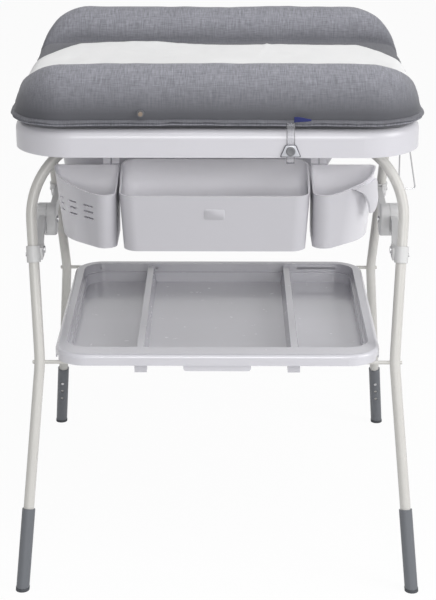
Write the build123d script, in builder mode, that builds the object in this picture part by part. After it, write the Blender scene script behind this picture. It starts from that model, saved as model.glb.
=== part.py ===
from build123d import *
from math import atan2, cos, radians, sin, sqrt, tan
import os

# Folding changing table: two leaning tube frames with knee joints at the sides, a bath tub,
# a padded mat with a towel, hung containers and a lower tray.
# Millimetres. X to the right, Y to the rear, Z up, origin on the floor under the middle.

# Tube frames
foot_half_width = 379.0
foot_half_depth = 414.7
waist_half_width = 343.0
waist_height = 429.0
shoulder_half_width = 367.0
crossbar_half_depth = 176.3
crossbar_height = 850.0
waist_bend_radius = 250.0
shoulder_bend_radius = 155.0
tube_radius = 10.25
tube_wall = 1.5
rod_radius = 3.75
rod_end = 4.0

# Clearances
press_gap = 0.05
pin_gap = 0.08
loose_gap = 0.4

# Foot sleeves with their height holes
sleeve_length = 160.0
sleeve_wall = 2.1
sleeve_floor = 14.0
sleeve_travel = 44.0
hole_pitch = 22.0
hole_count = 3
hole_radius = 3.6
top_hole_drop = 39.0
tube_end_room = 6.0
pad_height = 6.0
pad_overhang = 0.6

# Snap clips in the tube ends
button_radius = 3.1
button_proud = 1.0
clip_strip = 1.0
clip_width = 7.0
clip_length = 34.0
clip_above_button = 8.0

# Collars, arms and hubs of the folding knees
knee_height = 630.0
collar_length = 32.0
collar_wall = 3.2
pivot_reach = 30.0
pivot_pin_radius = 4.0
pin_head_radius = 7.0
pin_head_length = 2.5
ear_radius = 12.0
ear_thickness = 3.5
arm_setback = 7.0
arm_thickness = 13.0
arm_end_radius = 11.0
arm_hub_radius = 15.0
arm_straight = 62.0
hub_split_offset = 3.83
hub_gap = 0.6
hub_outer_thickness = 20.5
hub_inner_thickness = 20.0
hub_height = 66.0
hub_length = 50.0
hub_edge_round = 5.0
hub_pin_radius = 5.0
release_radius = 8.1
release_length = 8.5
release_travel = 4.0
release_proud = 2.0
rivet_radius = 2.5
rivet_head_radius = 4.0
rivet_head_length = 1.5

# Bath tub
tub_width = 750.0
tub_depth = 738.0
tub_corner = 110.0
skirt_rise = 5.0
skirt_height = 50.0
tub_wall = 3.5
tub_edge_round = 16.0
ledge_rise = 8.25
rim_width_at_ends = 55.0
rim_width_at_sides = 69.0
upper_basin_corner = 90.0
step_at_left = 4.0
step_at_right = 46.0
basin_crossbar_room = 26.3
basin_depth = 163.5
basin_left_taper = 20.0
basin_right_taper = 92.0
basin_side_taper = 18.0
basin_corner = 55.0
saddle_offset = 150.0
saddle_thickness = 8.0
saddle_half_length = 16.0
drain_from_floor_end = 96.0
drain_radius = 16.0
drain_flange_radius = 23.0
drain_flange_thickness = 4.0
drain_nipple_radius = 10.5
drain_nipple_length = 26.0
drain_bore = 8.0
plug_head_radius = 21.0
plug_head_height = 6.0
plug_stem_length = 16.0

# Wire hook under the right end of the tub
hook_from_tub_end = 12.5
hook_y = -100.0
hook_pivot_rise = 11.0
hook_length = 143.0
hook_reach = 29.0
hook_wire_radius = 1.5
hook_top_half_width = 4.5
hook_bend_radius = 4.5
hook_bracket_width = 4.0
hook_bracket_depth = 12.0
hook_bracket_drop = 5.0

# Padded mat
mat_end_overhang = 1.0
mat_side_inset = 1.0
mat_drawn_in = 6.0
mat_bottom_inset = 14.0
mat_seat_gap = 0.4
mat_seam_rise = 17.0
front_crest_rise = 103.0
rear_crest_rise = 111.0
mat_valley_rise = 50.0
mat_valley_sag = 7.0
bolster_half_width = 63.0
bolster_slope = 73.0
mat_end_length = 98.0
mat_end_share = 0.985
mat_corner_radius = 95.0
bolster_outer_bulge = 15.0
bolster_inner_bulge = 15.0
seam_width = 6.0
seam_thickness = 5.0

# Towel over the valley
towel_gap = 1.0
towel_thickness = 4.0
towel_end_inset = 8.0
towel_front_inset = 42.0
towel_rear_inset = 32.0
towel_corner_cut = 50.0
towel_edge_wave = 12.0

# Small pieces on the mat
valve_x = -137.5
valve_rise = 14.0
valve_radius = 6.5
valve_length = 11.0
valve_cap_radius = 4.0
valve_cap_length = 5.0
tag_x = 154.0
tag_width = 31.0
tag_length = 10.0
tag_thickness = 1.6
strap_x = 133.0
strap_width = 15.0
strap_thickness = 1.0
strap_tail = 12.0
strap_skirt_gap = 0.6
tab_rise = 2.0
tab_height = 23.0
tab_top_width = 20.0
tab_bottom_width = 39.0
tab_thickness = 1.6
snap_radius = 8.6
snap_thickness = 3.0
snap_rise = 11.0

# Hung containers
container_shift = -4.75
container_setback = 23.7
rear_rim_drop = 40.0
side_rear_rim_drop = 51.5
front_rim_drop = 33.0
rim_slope_depth = 118.0
container_height = 140.0
container_wall = 3.0
box_half_width = 178.75
box_depth = 150.0
box_corner = 28.0
box_side_lean = 9.0
box_front_lean = 5.0
side_container_gap = 3.0
side_container_width = 127.5
side_point_depth = 176.0
side_turn_inset = 6.65
side_turn_depth = 64.1
side_rear_corner = 11.0
side_front_round = 22.0
side_sweep_round = 130.0
side_end_round = 10.0
side_inner_lean = 1.0
side_sweep_lean = 14.0
side_end_lean = 16.0
box_hook_width = 24.0
side_hook_width = 14.0
hook_thickness = 3.0
hook_web_height = 14.0
box_hook_insets = (73.0, 113.0)
side_hook_insets = (9.0, 26.0)
slot_length = 24.0
slot_height = 4.0
slot_pitch = 12.0
slot_drop = 27.5
slot_row_angles = (23.5, 43.7, 63.8)
flap_reach = 16.0
flap_drop = 54.0
flap_thickness = 2.5
flap_rise = 4.0
flap_middle_angle = -34.0
flap_sweep = 64.0
flap_top_half_width = 46.0
flap_tip_half_width = 9.0
flap_tip_round = 7.0

# Lower tray
tray_leg_room = 28.0
tray_front_overhang = 30.6
tray_rear_setback = 32.4
tray_corner = 62.0
tray_rim_rise = 21.7
tray_rim_width = 20.0
tray_front_rim_width = 45.0
tray_rim_round = 7.0
tray_wall = 2.5
tray_shelf_gap = 0.55
pan_drop = 19.3
pan_side_inset = 23.0
pan_front_setback = 54.4
pan_rear_setback = 56.4
pan_corner = 40.0
divider_inset = 142.0
divider_top_width = 13.0
divider_bottom_width = 24.0
divider_drop = 6.0
rear_ledge_inset = 45.0
rear_ledge_overhang = 11.6
rear_ledge_thickness = 3.0
tray_slot_inset = 98.0
tray_slot_width = 84.0
tray_slot_height = 6.0
tray_slot_rise = 10.7
tray_hole_insets = (53.0, 178.0)
tray_hole_radius = 2.6
corner_notch = 16.0
tray_clip_inset = 167.0
tray_clip_width = 24.0
tray_clip_wall = 4.0
tray_clip_drop = 18.0
lip_half_width = 65.0
lip_drop = 12.0
lip_thickness = 3.0
lip_setback = 6.0

# Values that follow from the sizes above
lean = atan2(foot_half_depth - crossbar_half_depth, crossbar_height)
slope = 1 / cos(lean)
rod_height = waist_height
rod_top = rod_height + rod_radius
sleeve_bore = tube_radius + loose_gap
sleeve_radius = sleeve_bore + sleeve_wall
top_hole = sleeve_length - top_hole_drop
tube_end = sleeve_floor + sleeve_travel + tube_end_room
knee_share = (knee_height - waist_height) / (crossbar_height - waist_height)
arm_half_width = waist_half_width + (shoulder_half_width - waist_half_width) * knee_share - arm_setback
hub_split = arm_half_width + hub_split_offset

tub_bottom = crossbar_height + skirt_rise
tub_top = tub_bottom + skirt_height
ledge_height = crossbar_height + tube_radius + ledge_rise
upper_basin_width = tub_width - 2 * rim_width_at_ends
upper_basin_depth = tub_depth - 2 * rim_width_at_sides
basin_left = step_at_left - upper_basin_width / 2
basin_right = upper_basin_width / 2 - step_at_right
basin_half_depth = crossbar_half_depth - basin_crossbar_room
basin_floor = ledge_height - basin_depth
basin_floor_left = basin_left + basin_left_taper
basin_floor_right = basin_right - basin_right_taper
basin_floor_half_depth = basin_half_depth - basin_side_taper
drain_x = basin_floor_left + drain_from_floor_end
hook_x = tub_width / 2 - hook_from_tub_end
hook_outer_x = hook_x + hook_reach
hook_pivot_height = tub_bottom + hook_pivot_rise
hook_bottom_height = hook_pivot_height - hook_length

mat_half_width = tub_width / 2 + mat_end_overhang
mat_half_depth = tub_depth / 2 - mat_side_inset
mat_seam_height = tub_top + mat_seam_rise
mat_crest_heights = (tub_top + front_crest_rise, tub_top + rear_crest_rise)
mat_valley_height = tub_top + mat_valley_rise
mat_crest_depth = mat_half_depth - bolster_half_width
mat_valley_depth = mat_crest_depth - bolster_slope
towel_half_length = mat_half_width - towel_end_inset
towel_front = towel_front_inset - mat_valley_depth
towel_rear = mat_valley_depth - towel_rear_inset
valve_height = mat_seam_height + valve_rise
tab_bottom = tub_bottom + tab_rise
snap_height = tab_bottom + snap_rise
strap_face = -tub_depth / 2 - strap_skirt_gap

container_rear = -crossbar_half_depth - container_setback
container_rear_rim = crossbar_height - rear_rim_drop
side_rear_rim = crossbar_height - side_rear_rim_drop
container_front_rim = container_rear_rim - front_rim_drop
container_bottom = container_rear_rim - container_height
box_front = container_rear - box_depth
side_inner = box_half_width + side_container_gap
side_outer = side_inner + side_container_width
side_corners = [
    Vector(side_inner, container_rear),
    Vector(side_inner, container_rear - side_point_depth),
    Vector(side_outer - side_turn_inset, container_rear - side_turn_depth),
    Vector(side_outer, container_rear),
]
box_hook_places = [side * (box_half_width - inset) for side in (-1, 1) for inset in box_hook_insets]
side_hook_places = [side_inner + inset for inset in side_hook_insets]
slot_top = container_front_rim - slot_drop
flap_top = container_front_rim + flap_rise

rod_depth = foot_half_depth - rod_height * tan(lean)
tray_shelf = rod_top + tray_shelf_gap
tray_half_width = waist_half_width - tray_leg_room
tray_front = -rod_depth - tray_front_overhang
tray_rear = rod_depth - tray_rear_setback
tray_rim_height = tray_shelf + tray_rim_rise
tray_floor_height = tray_shelf - pan_drop
pan_half_width = tray_half_width - pan_side_inset
pan_front = pan_front_setback - rod_depth
pan_rear = rod_depth - pan_rear_setback
divider_place = pan_half_width - divider_inset
rear_ledge_half_width = tray_half_width - rear_ledge_inset
rear_ledge_end = rod_depth + rear_ledge_overhang
tray_slot_x = tray_half_width - tray_slot_inset
tray_slot_level = tray_shelf + tray_slot_rise
tray_hole_places = [inset - tray_half_width for inset in tray_hole_insets]
clip_place = tray_half_width - tray_clip_inset
long_cut = 2 * foot_half_width


def frame_depth(height):
    """Y of the front frame's plane at a height."""
    return height * tan(lean) - foot_half_depth


def leg_point(height):
    """Point on the centre line of the front right leg, bends left out."""
    if height < waist_height:
        share = height / waist_height
        half_width = foot_half_width + (waist_half_width - foot_half_width) * share
    else:
        share = (height - waist_height) / (crossbar_height - waist_height)
        half_width = waist_half_width + (shoulder_half_width - waist_half_width) * share
    return Vector(half_width, frame_depth(height), height)


front_plane = Plane((0, -foot_half_depth, 0), x_dir=(1, 0, 0), z_dir=(0, -cos(lean), sin(lean)))
lower_leg = (leg_point(waist_height) - leg_point(0)).normalized()
upper_leg = (leg_point(crossbar_height) - leg_point(waist_height)).normalized()
inward = (Vector(0, 1, 0) - lower_leg * lower_leg.Y).normalized()
foot_plane = Plane(leg_point(0), x_dir=inward, z_dir=lower_leg)
collar_point = leg_point(knee_height)
pivot_y = collar_point.Y + pivot_reach
rivet_plane = Plane(collar_point, z_dir=Vector(1, 0, 0) - upper_leg * upper_leg.X)
button_point = foot_plane.from_local_coords(Vector(0, 0, top_hole))
button_plane = Plane(button_point, z_dir=inward)

os.makedirs("parts", exist_ok=True)


def keep(piece, name):
    """Label a finished piece and write it."""
    piece.part.label = name
    export_step(piece.part, f"parts/{name}.step")


def mirrored(source, left, rear):
    """A copy of a front right piece on another corner of the stand."""
    shape = source.part
    if left:
        shape = shape.mirror(Plane.YZ)
    if rear:
        shape = shape.mirror(Plane.XZ)
    with BuildPart() as piece:
        add(shape)
    return piece


def pair(source, rear):
    """The right and left copies of a piece, as one group."""
    right = mirrored(source, False, rear).part
    left = mirrored(source, True, rear).part
    with BuildPart() as piece:
        add(right)
        add(left)
    return piece


def side_pin(start, length, radius, y, z):
    """A round pin along X, with a head at each end."""
    with BuildPart() as pin:
        with BuildSketch(Plane.YZ.offset(start)):
            with Locations((y, z)):
                Circle(radius)
        extrude(amount=length)
        for end in (start - pin_head_length, start + length):
            with BuildSketch(Plane.YZ.offset(end)):
                with Locations((y, z)):
                    Circle(pin_head_radius)
            extrude(amount=pin_head_length)
    return pin


def box_between(low, high, mode=Mode.ADD):
    """A box given by two opposite corners."""
    size = [b - a for a, b in zip(low, high)]
    with Locations(tuple(low)):
        Box(*size, align=(Align.MIN, Align.MIN, Align.MIN), mode=mode)


def make_leg_tube():
    """Inverted U of round tube, drilled for the snap buttons and the tray rod."""
    foot_end = foot_plane.from_local_coords(Vector(0, 0, tube_end))
    with BuildPart() as tube:
        with BuildLine(front_plane) as path:
            FilletPolyline(
                (foot_end.X, foot_end.Z * slope),
                (waist_half_width, waist_height * slope),
                (shoulder_half_width, crossbar_height * slope),
                (0, crossbar_height * slope),
                radius=[waist_bend_radius, shoulder_bend_radius],
            )
        spine = path.wires()[0]
        with BuildSketch(Plane(spine @ 0, z_dir=spine % 0)):
            Circle(tube_radius)
            Circle(tube_radius - tube_wall, mode=Mode.SUBTRACT)
        sweep(path=spine)
        with BuildSketch(button_plane):
            Circle(hole_radius)
        extrude(amount=2 * tube_radius, mode=Mode.SUBTRACT)
        with Locations((waist_half_width, frame_depth(rod_height), rod_height)):
            Cylinder(rod_radius + press_gap, 6 * tube_radius, rotation=(0, 90, 0), mode=Mode.SUBTRACT)
        mirror(about=Plane.YZ)
    return tube


def make_tray_rod():
    """Thin rod through both legs at the waist, with rounded ends."""
    half = waist_half_width + tube_radius + rod_end
    with BuildPart() as rod:
        with Locations((0, frame_depth(rod_height), rod_height)):
            Cylinder(rod_radius, 2 * half, rotation=(0, 90, 0))
        chamfer(rod.faces().filter_by(Axis.X).edges(), rod_radius / 4)
    return rod


def make_sleeve():
    """Foot sleeve with a row of height holes on its inner face."""
    with BuildPart() as sleeve:
        with BuildSketch(foot_plane.offset(-sleeve_radius)):
            Circle(sleeve_radius)
        extrude(amount=sleeve_length + sleeve_radius)
        rim = sleeve.edges().sort_by(Axis.Z)[-1]
        fillet(rim, sleeve_wall / 3)
        with BuildSketch(foot_plane.offset(sleeve_floor)):
            Circle(sleeve_bore)
        extrude(amount=sleeve_length, mode=Mode.SUBTRACT)
        for step in range(hole_count):
            centre = foot_plane.from_local_coords(Vector(0, 0, top_hole - step * hole_pitch))
            with BuildSketch(Plane(centre, z_dir=inward)):
                Circle(hole_radius)
            extrude(amount=2 * sleeve_radius, mode=Mode.SUBTRACT)
        split(bisect_by=Plane.XY.offset(pad_height), keep=Keep.TOP)
    return sleeve


def make_foot_pad():
    """Rubber foot end, cut level with the floor."""
    reach = 2 * sleeve_radius
    with BuildPart() as pad:
        with BuildSketch(foot_plane.offset(-reach)):
            Circle(sleeve_radius + pad_overhang)
        extrude(amount=2 * reach)
        split(bisect_by=Plane.XY.offset(pad_height), keep=Keep.BOTTOM)
        split(bisect_by=Plane.XY, keep=Keep.TOP)
    return pad


def make_snap_clip():
    """Bent spring strip inside the tube end, with a round button through the top hole."""
    across = tube_radius - tube_wall - 1.25 * clip_strip
    low = clip_above_button - clip_length
    clip_plane = Plane(button_point, x_dir=inward, z_dir=inward.cross(lower_leg))
    with BuildPart() as clip:
        with BuildSketch(clip_plane):
            with BuildLine():
                Polyline(
                    (across, clip_above_button),
                    (across - clip_strip, clip_above_button),
                    (across - clip_strip, low + 4 * clip_strip),
                    (clip_strip - across, clip_above_button),
                    (-across, clip_above_button),
                    (across - 1.5 * clip_strip, low),
                    (across, low),
                    close=True,
                )
            make_face()
        extrude(amount=clip_width / 2, both=True)
        with BuildSketch(button_plane.offset(across - clip_strip)):
            Circle(button_radius)
        extrude(amount=sleeve_radius + button_proud - across + clip_strip)
        fillet(clip.faces().sort_by(Axis(button_point, inward))[-1].edges(), button_radius / 3)
    return clip


def make_collar():
    """Collar round the leg with two ears for the arm's pivot pin."""
    lug_half = arm_thickness / 2 + loose_gap + ear_thickness
    slot_half = arm_thickness / 2 + loose_gap
    collar_plane = Plane(collar_point, z_dir=upper_leg)
    with BuildPart() as collar:
        with BuildSketch(collar_plane.offset(-collar_length / 2)):
            Circle(tube_radius + collar_wall)
        extrude(amount=collar_length)
        fillet(collar.edges().filter_by(GeomType.CIRCLE), collar_wall / 3)
        with BuildSketch(Plane.YZ.offset(arm_half_width - lug_half)):
            with Locations((collar_point.Y + pivot_reach / 2, knee_height)):
                Rectangle(pivot_reach, 2 * ear_radius)
            with Locations((pivot_y, knee_height)):
                Circle(ear_radius)
        extrude(amount=2 * lug_half)
        box_between(
            (arm_half_width - slot_half, pivot_y - ear_radius - loose_gap, knee_height - 2 * ear_radius),
            (arm_half_width + slot_half, pivot_y + 2 * ear_radius, knee_height + 2 * ear_radius),
            Mode.SUBTRACT,
        )
        with BuildSketch(Plane.YZ.offset(arm_half_width - 2 * lug_half)):
            with Locations((pivot_y, knee_height)):
                Circle(pivot_pin_radius + press_gap)
        extrude(amount=4 * lug_half, mode=Mode.SUBTRACT)
        with BuildSketch(collar_plane.offset(-2 * collar_length)):
            Circle(tube_radius + press_gap)
        extrude(amount=4 * collar_length, mode=Mode.SUBTRACT)
        with BuildSketch(rivet_plane):
            Circle(rivet_radius + press_gap)
        extrude(amount=2 * tube_radius, mode=Mode.SUBTRACT)
    return collar


def make_rivet():
    """Rivet on the outer side of a collar, short of the tube wall."""
    face = tube_radius + collar_wall + press_gap
    with BuildPart() as rivet:
        with BuildSketch(rivet_plane.offset(tube_radius + 2 * press_gap)):
            Circle(rivet_radius)
        extrude(amount=collar_wall)
        with BuildSketch(rivet_plane.offset(face)):
            Circle(rivet_head_radius)
        extrude(amount=rivet_head_length)
        fillet(rivet.faces().sort_by(Axis.X)[-1].edges(), rivet_head_length / 2)
    return rivet


def arm_outline():
    """Side view of an arm from its pivot to the hub, for the front right arm."""
    with BuildSketch(Plane.YZ, mode=Mode.PRIVATE) as outline:
        with BuildLine():
            Line((pivot_y, knee_height + arm_end_radius), (0, knee_height + arm_hub_radius))
            Line((0, knee_height + arm_hub_radius), (0, knee_height - arm_hub_radius))
            Line((0, knee_height - arm_hub_radius), (pivot_y, knee_height - arm_end_radius))
            Line((pivot_y, knee_height - arm_end_radius), (pivot_y, knee_height + arm_end_radius))
        make_face()
        with Locations((pivot_y, knee_height)):
            Circle(arm_end_radius)
    return outline.sketch


def make_arm(hub_low, hub_high, arm_low):
    """Arm that bends in plan from its pivot to its own layer of the hub, with the hub half."""
    arm_high = arm_low + arm_thickness
    pivot_low = arm_half_width - arm_thickness / 2
    pivot_high = arm_half_width + arm_thickness / 2
    tongue_end = pivot_y - arm_end_radius
    bend = pivot_y + arm_straight / 2
    with BuildPart() as arm:
        with BuildSketch(Plane.XY.offset(knee_height - hub_height)):
            with BuildLine():
                Polyline(
                    (pivot_low, tongue_end),
                    (pivot_low, bend),
                    (arm_low, -arm_straight),
                    (arm_low, 0),
                    (arm_high, 0),
                    (arm_high, -arm_straight),
                    (pivot_high, bend),
                    (pivot_high, tongue_end),
                    close=True,
                )
            make_face()
        extrude(amount=2 * hub_height)
        outline = arm_outline()
        extrude(outline, amount=long_cut, mode=Mode.INTERSECT)
        with BuildSketch(Plane.YZ.offset(hub_low)):
            with Locations((0, knee_height)):
                RectangleRounded(hub_length, hub_height, hub_length * 0.42)
        extrude(amount=hub_high - hub_low)
        with BuildSketch(Plane.YZ.offset(pivot_low - 1)):
            with Locations((pivot_y, knee_height)):
                Circle(pivot_pin_radius + pin_gap)
        extrude(amount=arm_thickness + 2, mode=Mode.SUBTRACT)
        with BuildSketch(Plane.YZ.offset(hub_low)):
            with Locations((0, knee_height)):
                Circle(hub_pin_radius + pin_gap)
        extrude(amount=hub_high - hub_low, mode=Mode.SUBTRACT)
    return arm


def make_front_arm():
    """Front arm with the outer hub half and the seat of the release button."""
    low = hub_split + hub_gap / 2
    high = low + hub_outer_thickness
    arm = make_arm(low, high, low)
    with BuildPart() as front_arm:
        add(arm.part)
        outer = front_arm.faces().filter_by(Axis.X).sort_by(Axis.X)[-1]
        fillet(outer.outer_wire().edges(), hub_edge_round)
        with BuildSketch(Plane.YZ.offset(high - release_length - release_travel)):
            with Locations((0, knee_height)):
                Circle(release_radius + loose_gap)
        extrude(amount=release_length + 2 * release_travel, mode=Mode.SUBTRACT)
    return front_arm


def make_rear_arm():
    """Rear arm with the inner hub half, drawn on the front side and turned to the rear."""
    high = hub_split - hub_gap / 2
    low = high - hub_inner_thickness
    arm = make_arm(low, high, high - arm_thickness)
    with BuildPart() as rear_arm:
        add(arm.part.mirror(Plane.XZ))
        inner = rear_arm.faces().filter_by(Axis.X).sort_by(Axis.X)[0]
        fillet(inner.outer_wire().edges(), hub_edge_round)
    return rear_arm


def make_hub_pin():
    """Pin of the hub, headed on the inner side and blind under the release button."""
    inner_face = hub_split - hub_gap / 2 - hub_inner_thickness
    seat = hub_split + hub_gap / 2 + hub_outer_thickness - release_length - release_travel
    head = inner_face - loose_gap
    with BuildPart() as pin:
        with BuildSketch(Plane.YZ.offset(head)):
            with Locations((0, knee_height)):
                Circle(hub_pin_radius)
        extrude(amount=seat - head)
        with BuildSketch(Plane.YZ.offset(head - pin_head_length)):
            with Locations((0, knee_height)):
                Circle(pin_head_radius)
        extrude(amount=pin_head_length)
    return pin


def make_release_button():
    """Round release button that travels into the outer hub half."""
    face = hub_split + hub_gap / 2 + hub_outer_thickness + release_proud
    with BuildPart() as button:
        with BuildSketch(Plane.YZ.offset(face - release_length)):
            with Locations((0, knee_height)):
                Circle(release_radius)
        extrude(amount=release_length)
        fillet(button.faces().sort_by(Axis.X)[-1].edges(), release_proud / 2)
    return button


def basin_sketch(plane, low, high, half_depth, inset):
    """Rounded outline of the deep basin at one level, moved in by the wall."""
    width = high - low - 2 * inset
    depth = 2 * half_depth - 2 * inset
    with BuildSketch(plane) as outline:
        with Locations(((low + high) / 2, 0)):
            RectangleRounded(width, depth, basin_corner - inset)
    return outline.sketch


def basin_levels(inset):
    """Floor and top outlines of the deep basin, moved in and up by the wall."""
    floor = Plane.XY.offset(basin_floor + inset)
    top = Plane.XY.offset(ledge_height + inset)
    return [
        basin_sketch(floor, basin_floor_left, basin_floor_right, basin_floor_half_depth, inset),
        basin_sketch(top, basin_left, basin_right, basin_half_depth, inset),
    ]


def make_tub():
    """Tub with a hanging skirt, a shallow upper step, a deep basin and saddles for the crossbars."""
    outer_levels = basin_levels(0)
    inner_levels = basin_levels(tub_wall)
    with BuildPart() as tub:
        with BuildSketch(Plane.XY.offset(tub_bottom)):
            RectangleRounded(tub_width, tub_depth, tub_corner)
        extrude(amount=tub_top - tub_bottom)
        fillet(tub.faces().sort_by(Axis.Z)[-1].edges(), tub_edge_round)
        with BuildSketch(Plane.XY.offset(tub_bottom)):
            RectangleRounded(tub_width - 2 * tub_wall, tub_depth - 2 * tub_wall, tub_corner - tub_wall)
        extrude(amount=tub_top - tub_bottom - tub_edge_round, mode=Mode.SUBTRACT)
        with BuildSketch(Plane.XY.offset(tub_top - tub_edge_round)):
            inner = 2 * tub_edge_round
            RectangleRounded(tub_width - inner, tub_depth - inner, tub_corner - tub_edge_round)
        extrude(amount=tub_edge_round - tub_wall, mode=Mode.SUBTRACT)
        with BuildSketch(Plane.XY.offset(ledge_height)):
            RectangleRounded(upper_basin_width, upper_basin_depth, upper_basin_corner)
        extrude(amount=tub_top - ledge_height - tub_wall / 2)
        loft(outer_levels)
        for x in (-saddle_offset, saddle_offset):
            for side in (-1, 1):
                rear_end = crossbar_half_depth + (saddle_half_length if side < 0 else 0)
                ends = sorted((side * (crossbar_half_depth - saddle_half_length), side * rear_end))
                box_between(
                    (x - saddle_thickness / 2, ends[0], crossbar_height),
                    (x + saddle_thickness / 2, ends[1], ledge_height),
                )
        for side in (-1, 1):
            with Locations((0, side * crossbar_half_depth, crossbar_height)):
                Cylinder(tube_radius + loose_gap, 2 * saddle_offset + 4 * saddle_thickness,
                         rotation=(0, 90, 0), mode=Mode.SUBTRACT)
        with BuildSketch(Plane.XY.offset(ledge_height + tub_wall)):
            RectangleRounded(upper_basin_width - 2 * tub_wall, upper_basin_depth - 2 * tub_wall,
                             upper_basin_corner - tub_wall)
        extrude(amount=tub_top - ledge_height, mode=Mode.SUBTRACT)
        loft(inner_levels, mode=Mode.SUBTRACT)
        with Locations((drain_x, 0, basin_floor)):
            Cylinder(drain_radius, 4 * tub_wall, mode=Mode.SUBTRACT)
    return tub


def make_drain_outlet():
    """Drain fitting through the basin floor, with a flange below and a hose nipple."""
    with BuildPart() as outlet:
        with BuildSketch(Plane.XY.offset(basin_floor - drain_flange_thickness)):
            with Locations((drain_x, 0)):
                Circle(drain_flange_radius)
        extrude(amount=drain_flange_thickness)
        with BuildSketch(Plane.XY.offset(basin_floor)):
            with Locations((drain_x, 0)):
                Circle(drain_radius - press_gap)
        extrude(amount=tub_wall)
        nipple_end = basin_floor - drain_flange_thickness - drain_nipple_length
        with BuildSketch(Plane.XY.offset(nipple_end)):
            with Locations((drain_x, 0)):
                Circle(drain_nipple_radius)
        extrude(amount=drain_nipple_length)
        with BuildSketch(Plane.XY.offset(nipple_end)):
            with Locations((drain_x, 0)):
                Circle(drain_bore)
        extrude(amount=2 * drain_nipple_length, mode=Mode.SUBTRACT)
    return outlet


def make_drain_plug():
    """Plug with a broad head over the drain and a stem in its bore."""
    seat = basin_floor + tub_wall + loose_gap
    with BuildPart() as plug:
        with BuildSketch(Plane.XY.offset(seat)):
            with Locations((drain_x, 0)):
                Circle(plug_head_radius)
        extrude(amount=plug_head_height)
        fillet(plug.faces().sort_by(Axis.Z)[-1].edges(), plug_head_height / 3)
        with BuildSketch(Plane.XY.offset(seat - plug_stem_length)):
            with Locations((drain_x, 0)):
                Circle(drain_bore - loose_gap)
        extrude(amount=plug_stem_length)
    return plug


def make_hook_bracket():
    """Bracket under the tub's deck that carries the wire hook."""
    half_width = hook_bracket_width / 2
    half_depth = hook_bracket_depth / 2
    with BuildPart() as bracket:
        box_between(
            (hook_x - half_width, hook_y - half_depth, hook_pivot_height - hook_bracket_drop),
            (hook_x + half_width, hook_y + half_depth, tub_top - tub_edge_round),
        )
        with Locations((hook_x, hook_y, hook_pivot_height)):
            Cylinder(hook_wire_radius + pin_gap, 4 * half_width, rotation=(0, 90, 0), mode=Mode.SUBTRACT)
    return bracket


def make_wire_hook():
    """Closed triangle of bent wire whose top run turns in the bracket."""
    hook_plane = Plane((0, hook_y, 0), x_dir=(1, 0, 0), z_dir=(0, -1, 0))
    with BuildPart() as hook:
        with BuildLine(hook_plane) as path:
            FilletPolyline(
                (hook_x - hook_top_half_width, hook_pivot_height),
                (hook_x - hook_top_half_width + 1, hook_bottom_height),
                (hook_outer_x, hook_bottom_height + 1),
                (hook_x + hook_top_half_width, hook_pivot_height),
                close=True,
                radius=[hook_bend_radius / 2, hook_bend_radius, hook_bend_radius, hook_bend_radius / 2],
            )
        spine = path.wires()[0]
        with BuildSketch(Plane(spine @ 0, z_dir=spine % 0)):
            Circle(hook_wire_radius)
        sweep(path=spine)
    return hook


def mat_share(x):
    """Height share and half depth of the mat's section at a distance from the middle."""
    start = mat_half_width - mat_end_length
    beyond = max(0.0, abs(x) - start) / mat_end_length
    height_share = sqrt(1 - beyond * beyond)
    corner = max(0.0, abs(x) - (mat_half_width - mat_corner_radius))
    rounding = mat_corner_radius - sqrt(mat_corner_radius ** 2 - corner ** 2)
    drawn = mat_drawn_in * max(0.0, 1 - (abs(x) / start) ** 2)
    return height_share, mat_half_depth - rounding - drawn


def mat_section(x):
    """Section of the mat across its two bolsters."""
    share, half_depth = mat_share(x)
    wide = half_depth / mat_half_depth
    seam = mat_seam_height
    bottom = tub_top + mat_seat_gap
    valley = seam + (mat_valley_height - seam) * share
    middle = seam + (mat_valley_height - mat_valley_sag - seam) * share
    crest_y = mat_crest_depth * wide
    valley_y = mat_valley_depth * wide
    with BuildSketch(Plane.YZ.offset(x)) as section:
        with BuildLine():
            for side, highest in zip((-1, 1), mat_crest_heights):
                crest = seam + (highest - seam) * share
                base = Vector(side * (half_depth - mat_bottom_inset), bottom)
                edge = Vector(side * half_depth, seam)
                top = Vector(side * crest_y, crest)
                foot = Vector(side * valley_y, valley)
                outer = (edge + top) / 2 + Vector(side * bolster_outer_bulge, bolster_outer_bulge) * share
                inner = (top + foot) / 2 + Vector(-side * bolster_inner_bulge, bolster_inner_bulge) * share
                Line(base, edge)
                ThreePointArc(edge, outer, top)
                ThreePointArc(top, inner, foot)
            Line((mat_bottom_inset - half_depth, bottom), (half_depth - mat_bottom_inset, bottom))
            ThreePointArc((-valley_y, valley), (0, middle), (valley_y, valley))
        make_face()
    return section.sketch


def make_mat():
    """Padded mat with two bolsters, a valley, rounded ends and sides drawn in between corners."""
    start = mat_half_width - mat_end_length
    ends = [start + mat_end_length * mat_end_share * sqrt(step / 4) for step in range(5)]
    runs = [(-start, 0.0, start), ends, [-x for x in ends]]
    sections = [[mat_section(x) for x in run] for run in runs]
    with BuildPart() as mat:
        for run in sections:
            loft(run)
    return mat


def make_mat_seam(mat):
    """Welded edge flange round the mat."""
    with BuildPart() as seam:
        with BuildSketch(Plane.XY.offset(mat_seam_height - seam_thickness / 2)):
            RectangleRounded(2 * (mat_half_width + seam_width), 2 * (mat_half_depth + seam_width),
                             mat_corner_radius + seam_width)
        extrude(amount=seam_thickness)
        add(mat.part, mode=Mode.SUBTRACT)
    return seam


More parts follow.
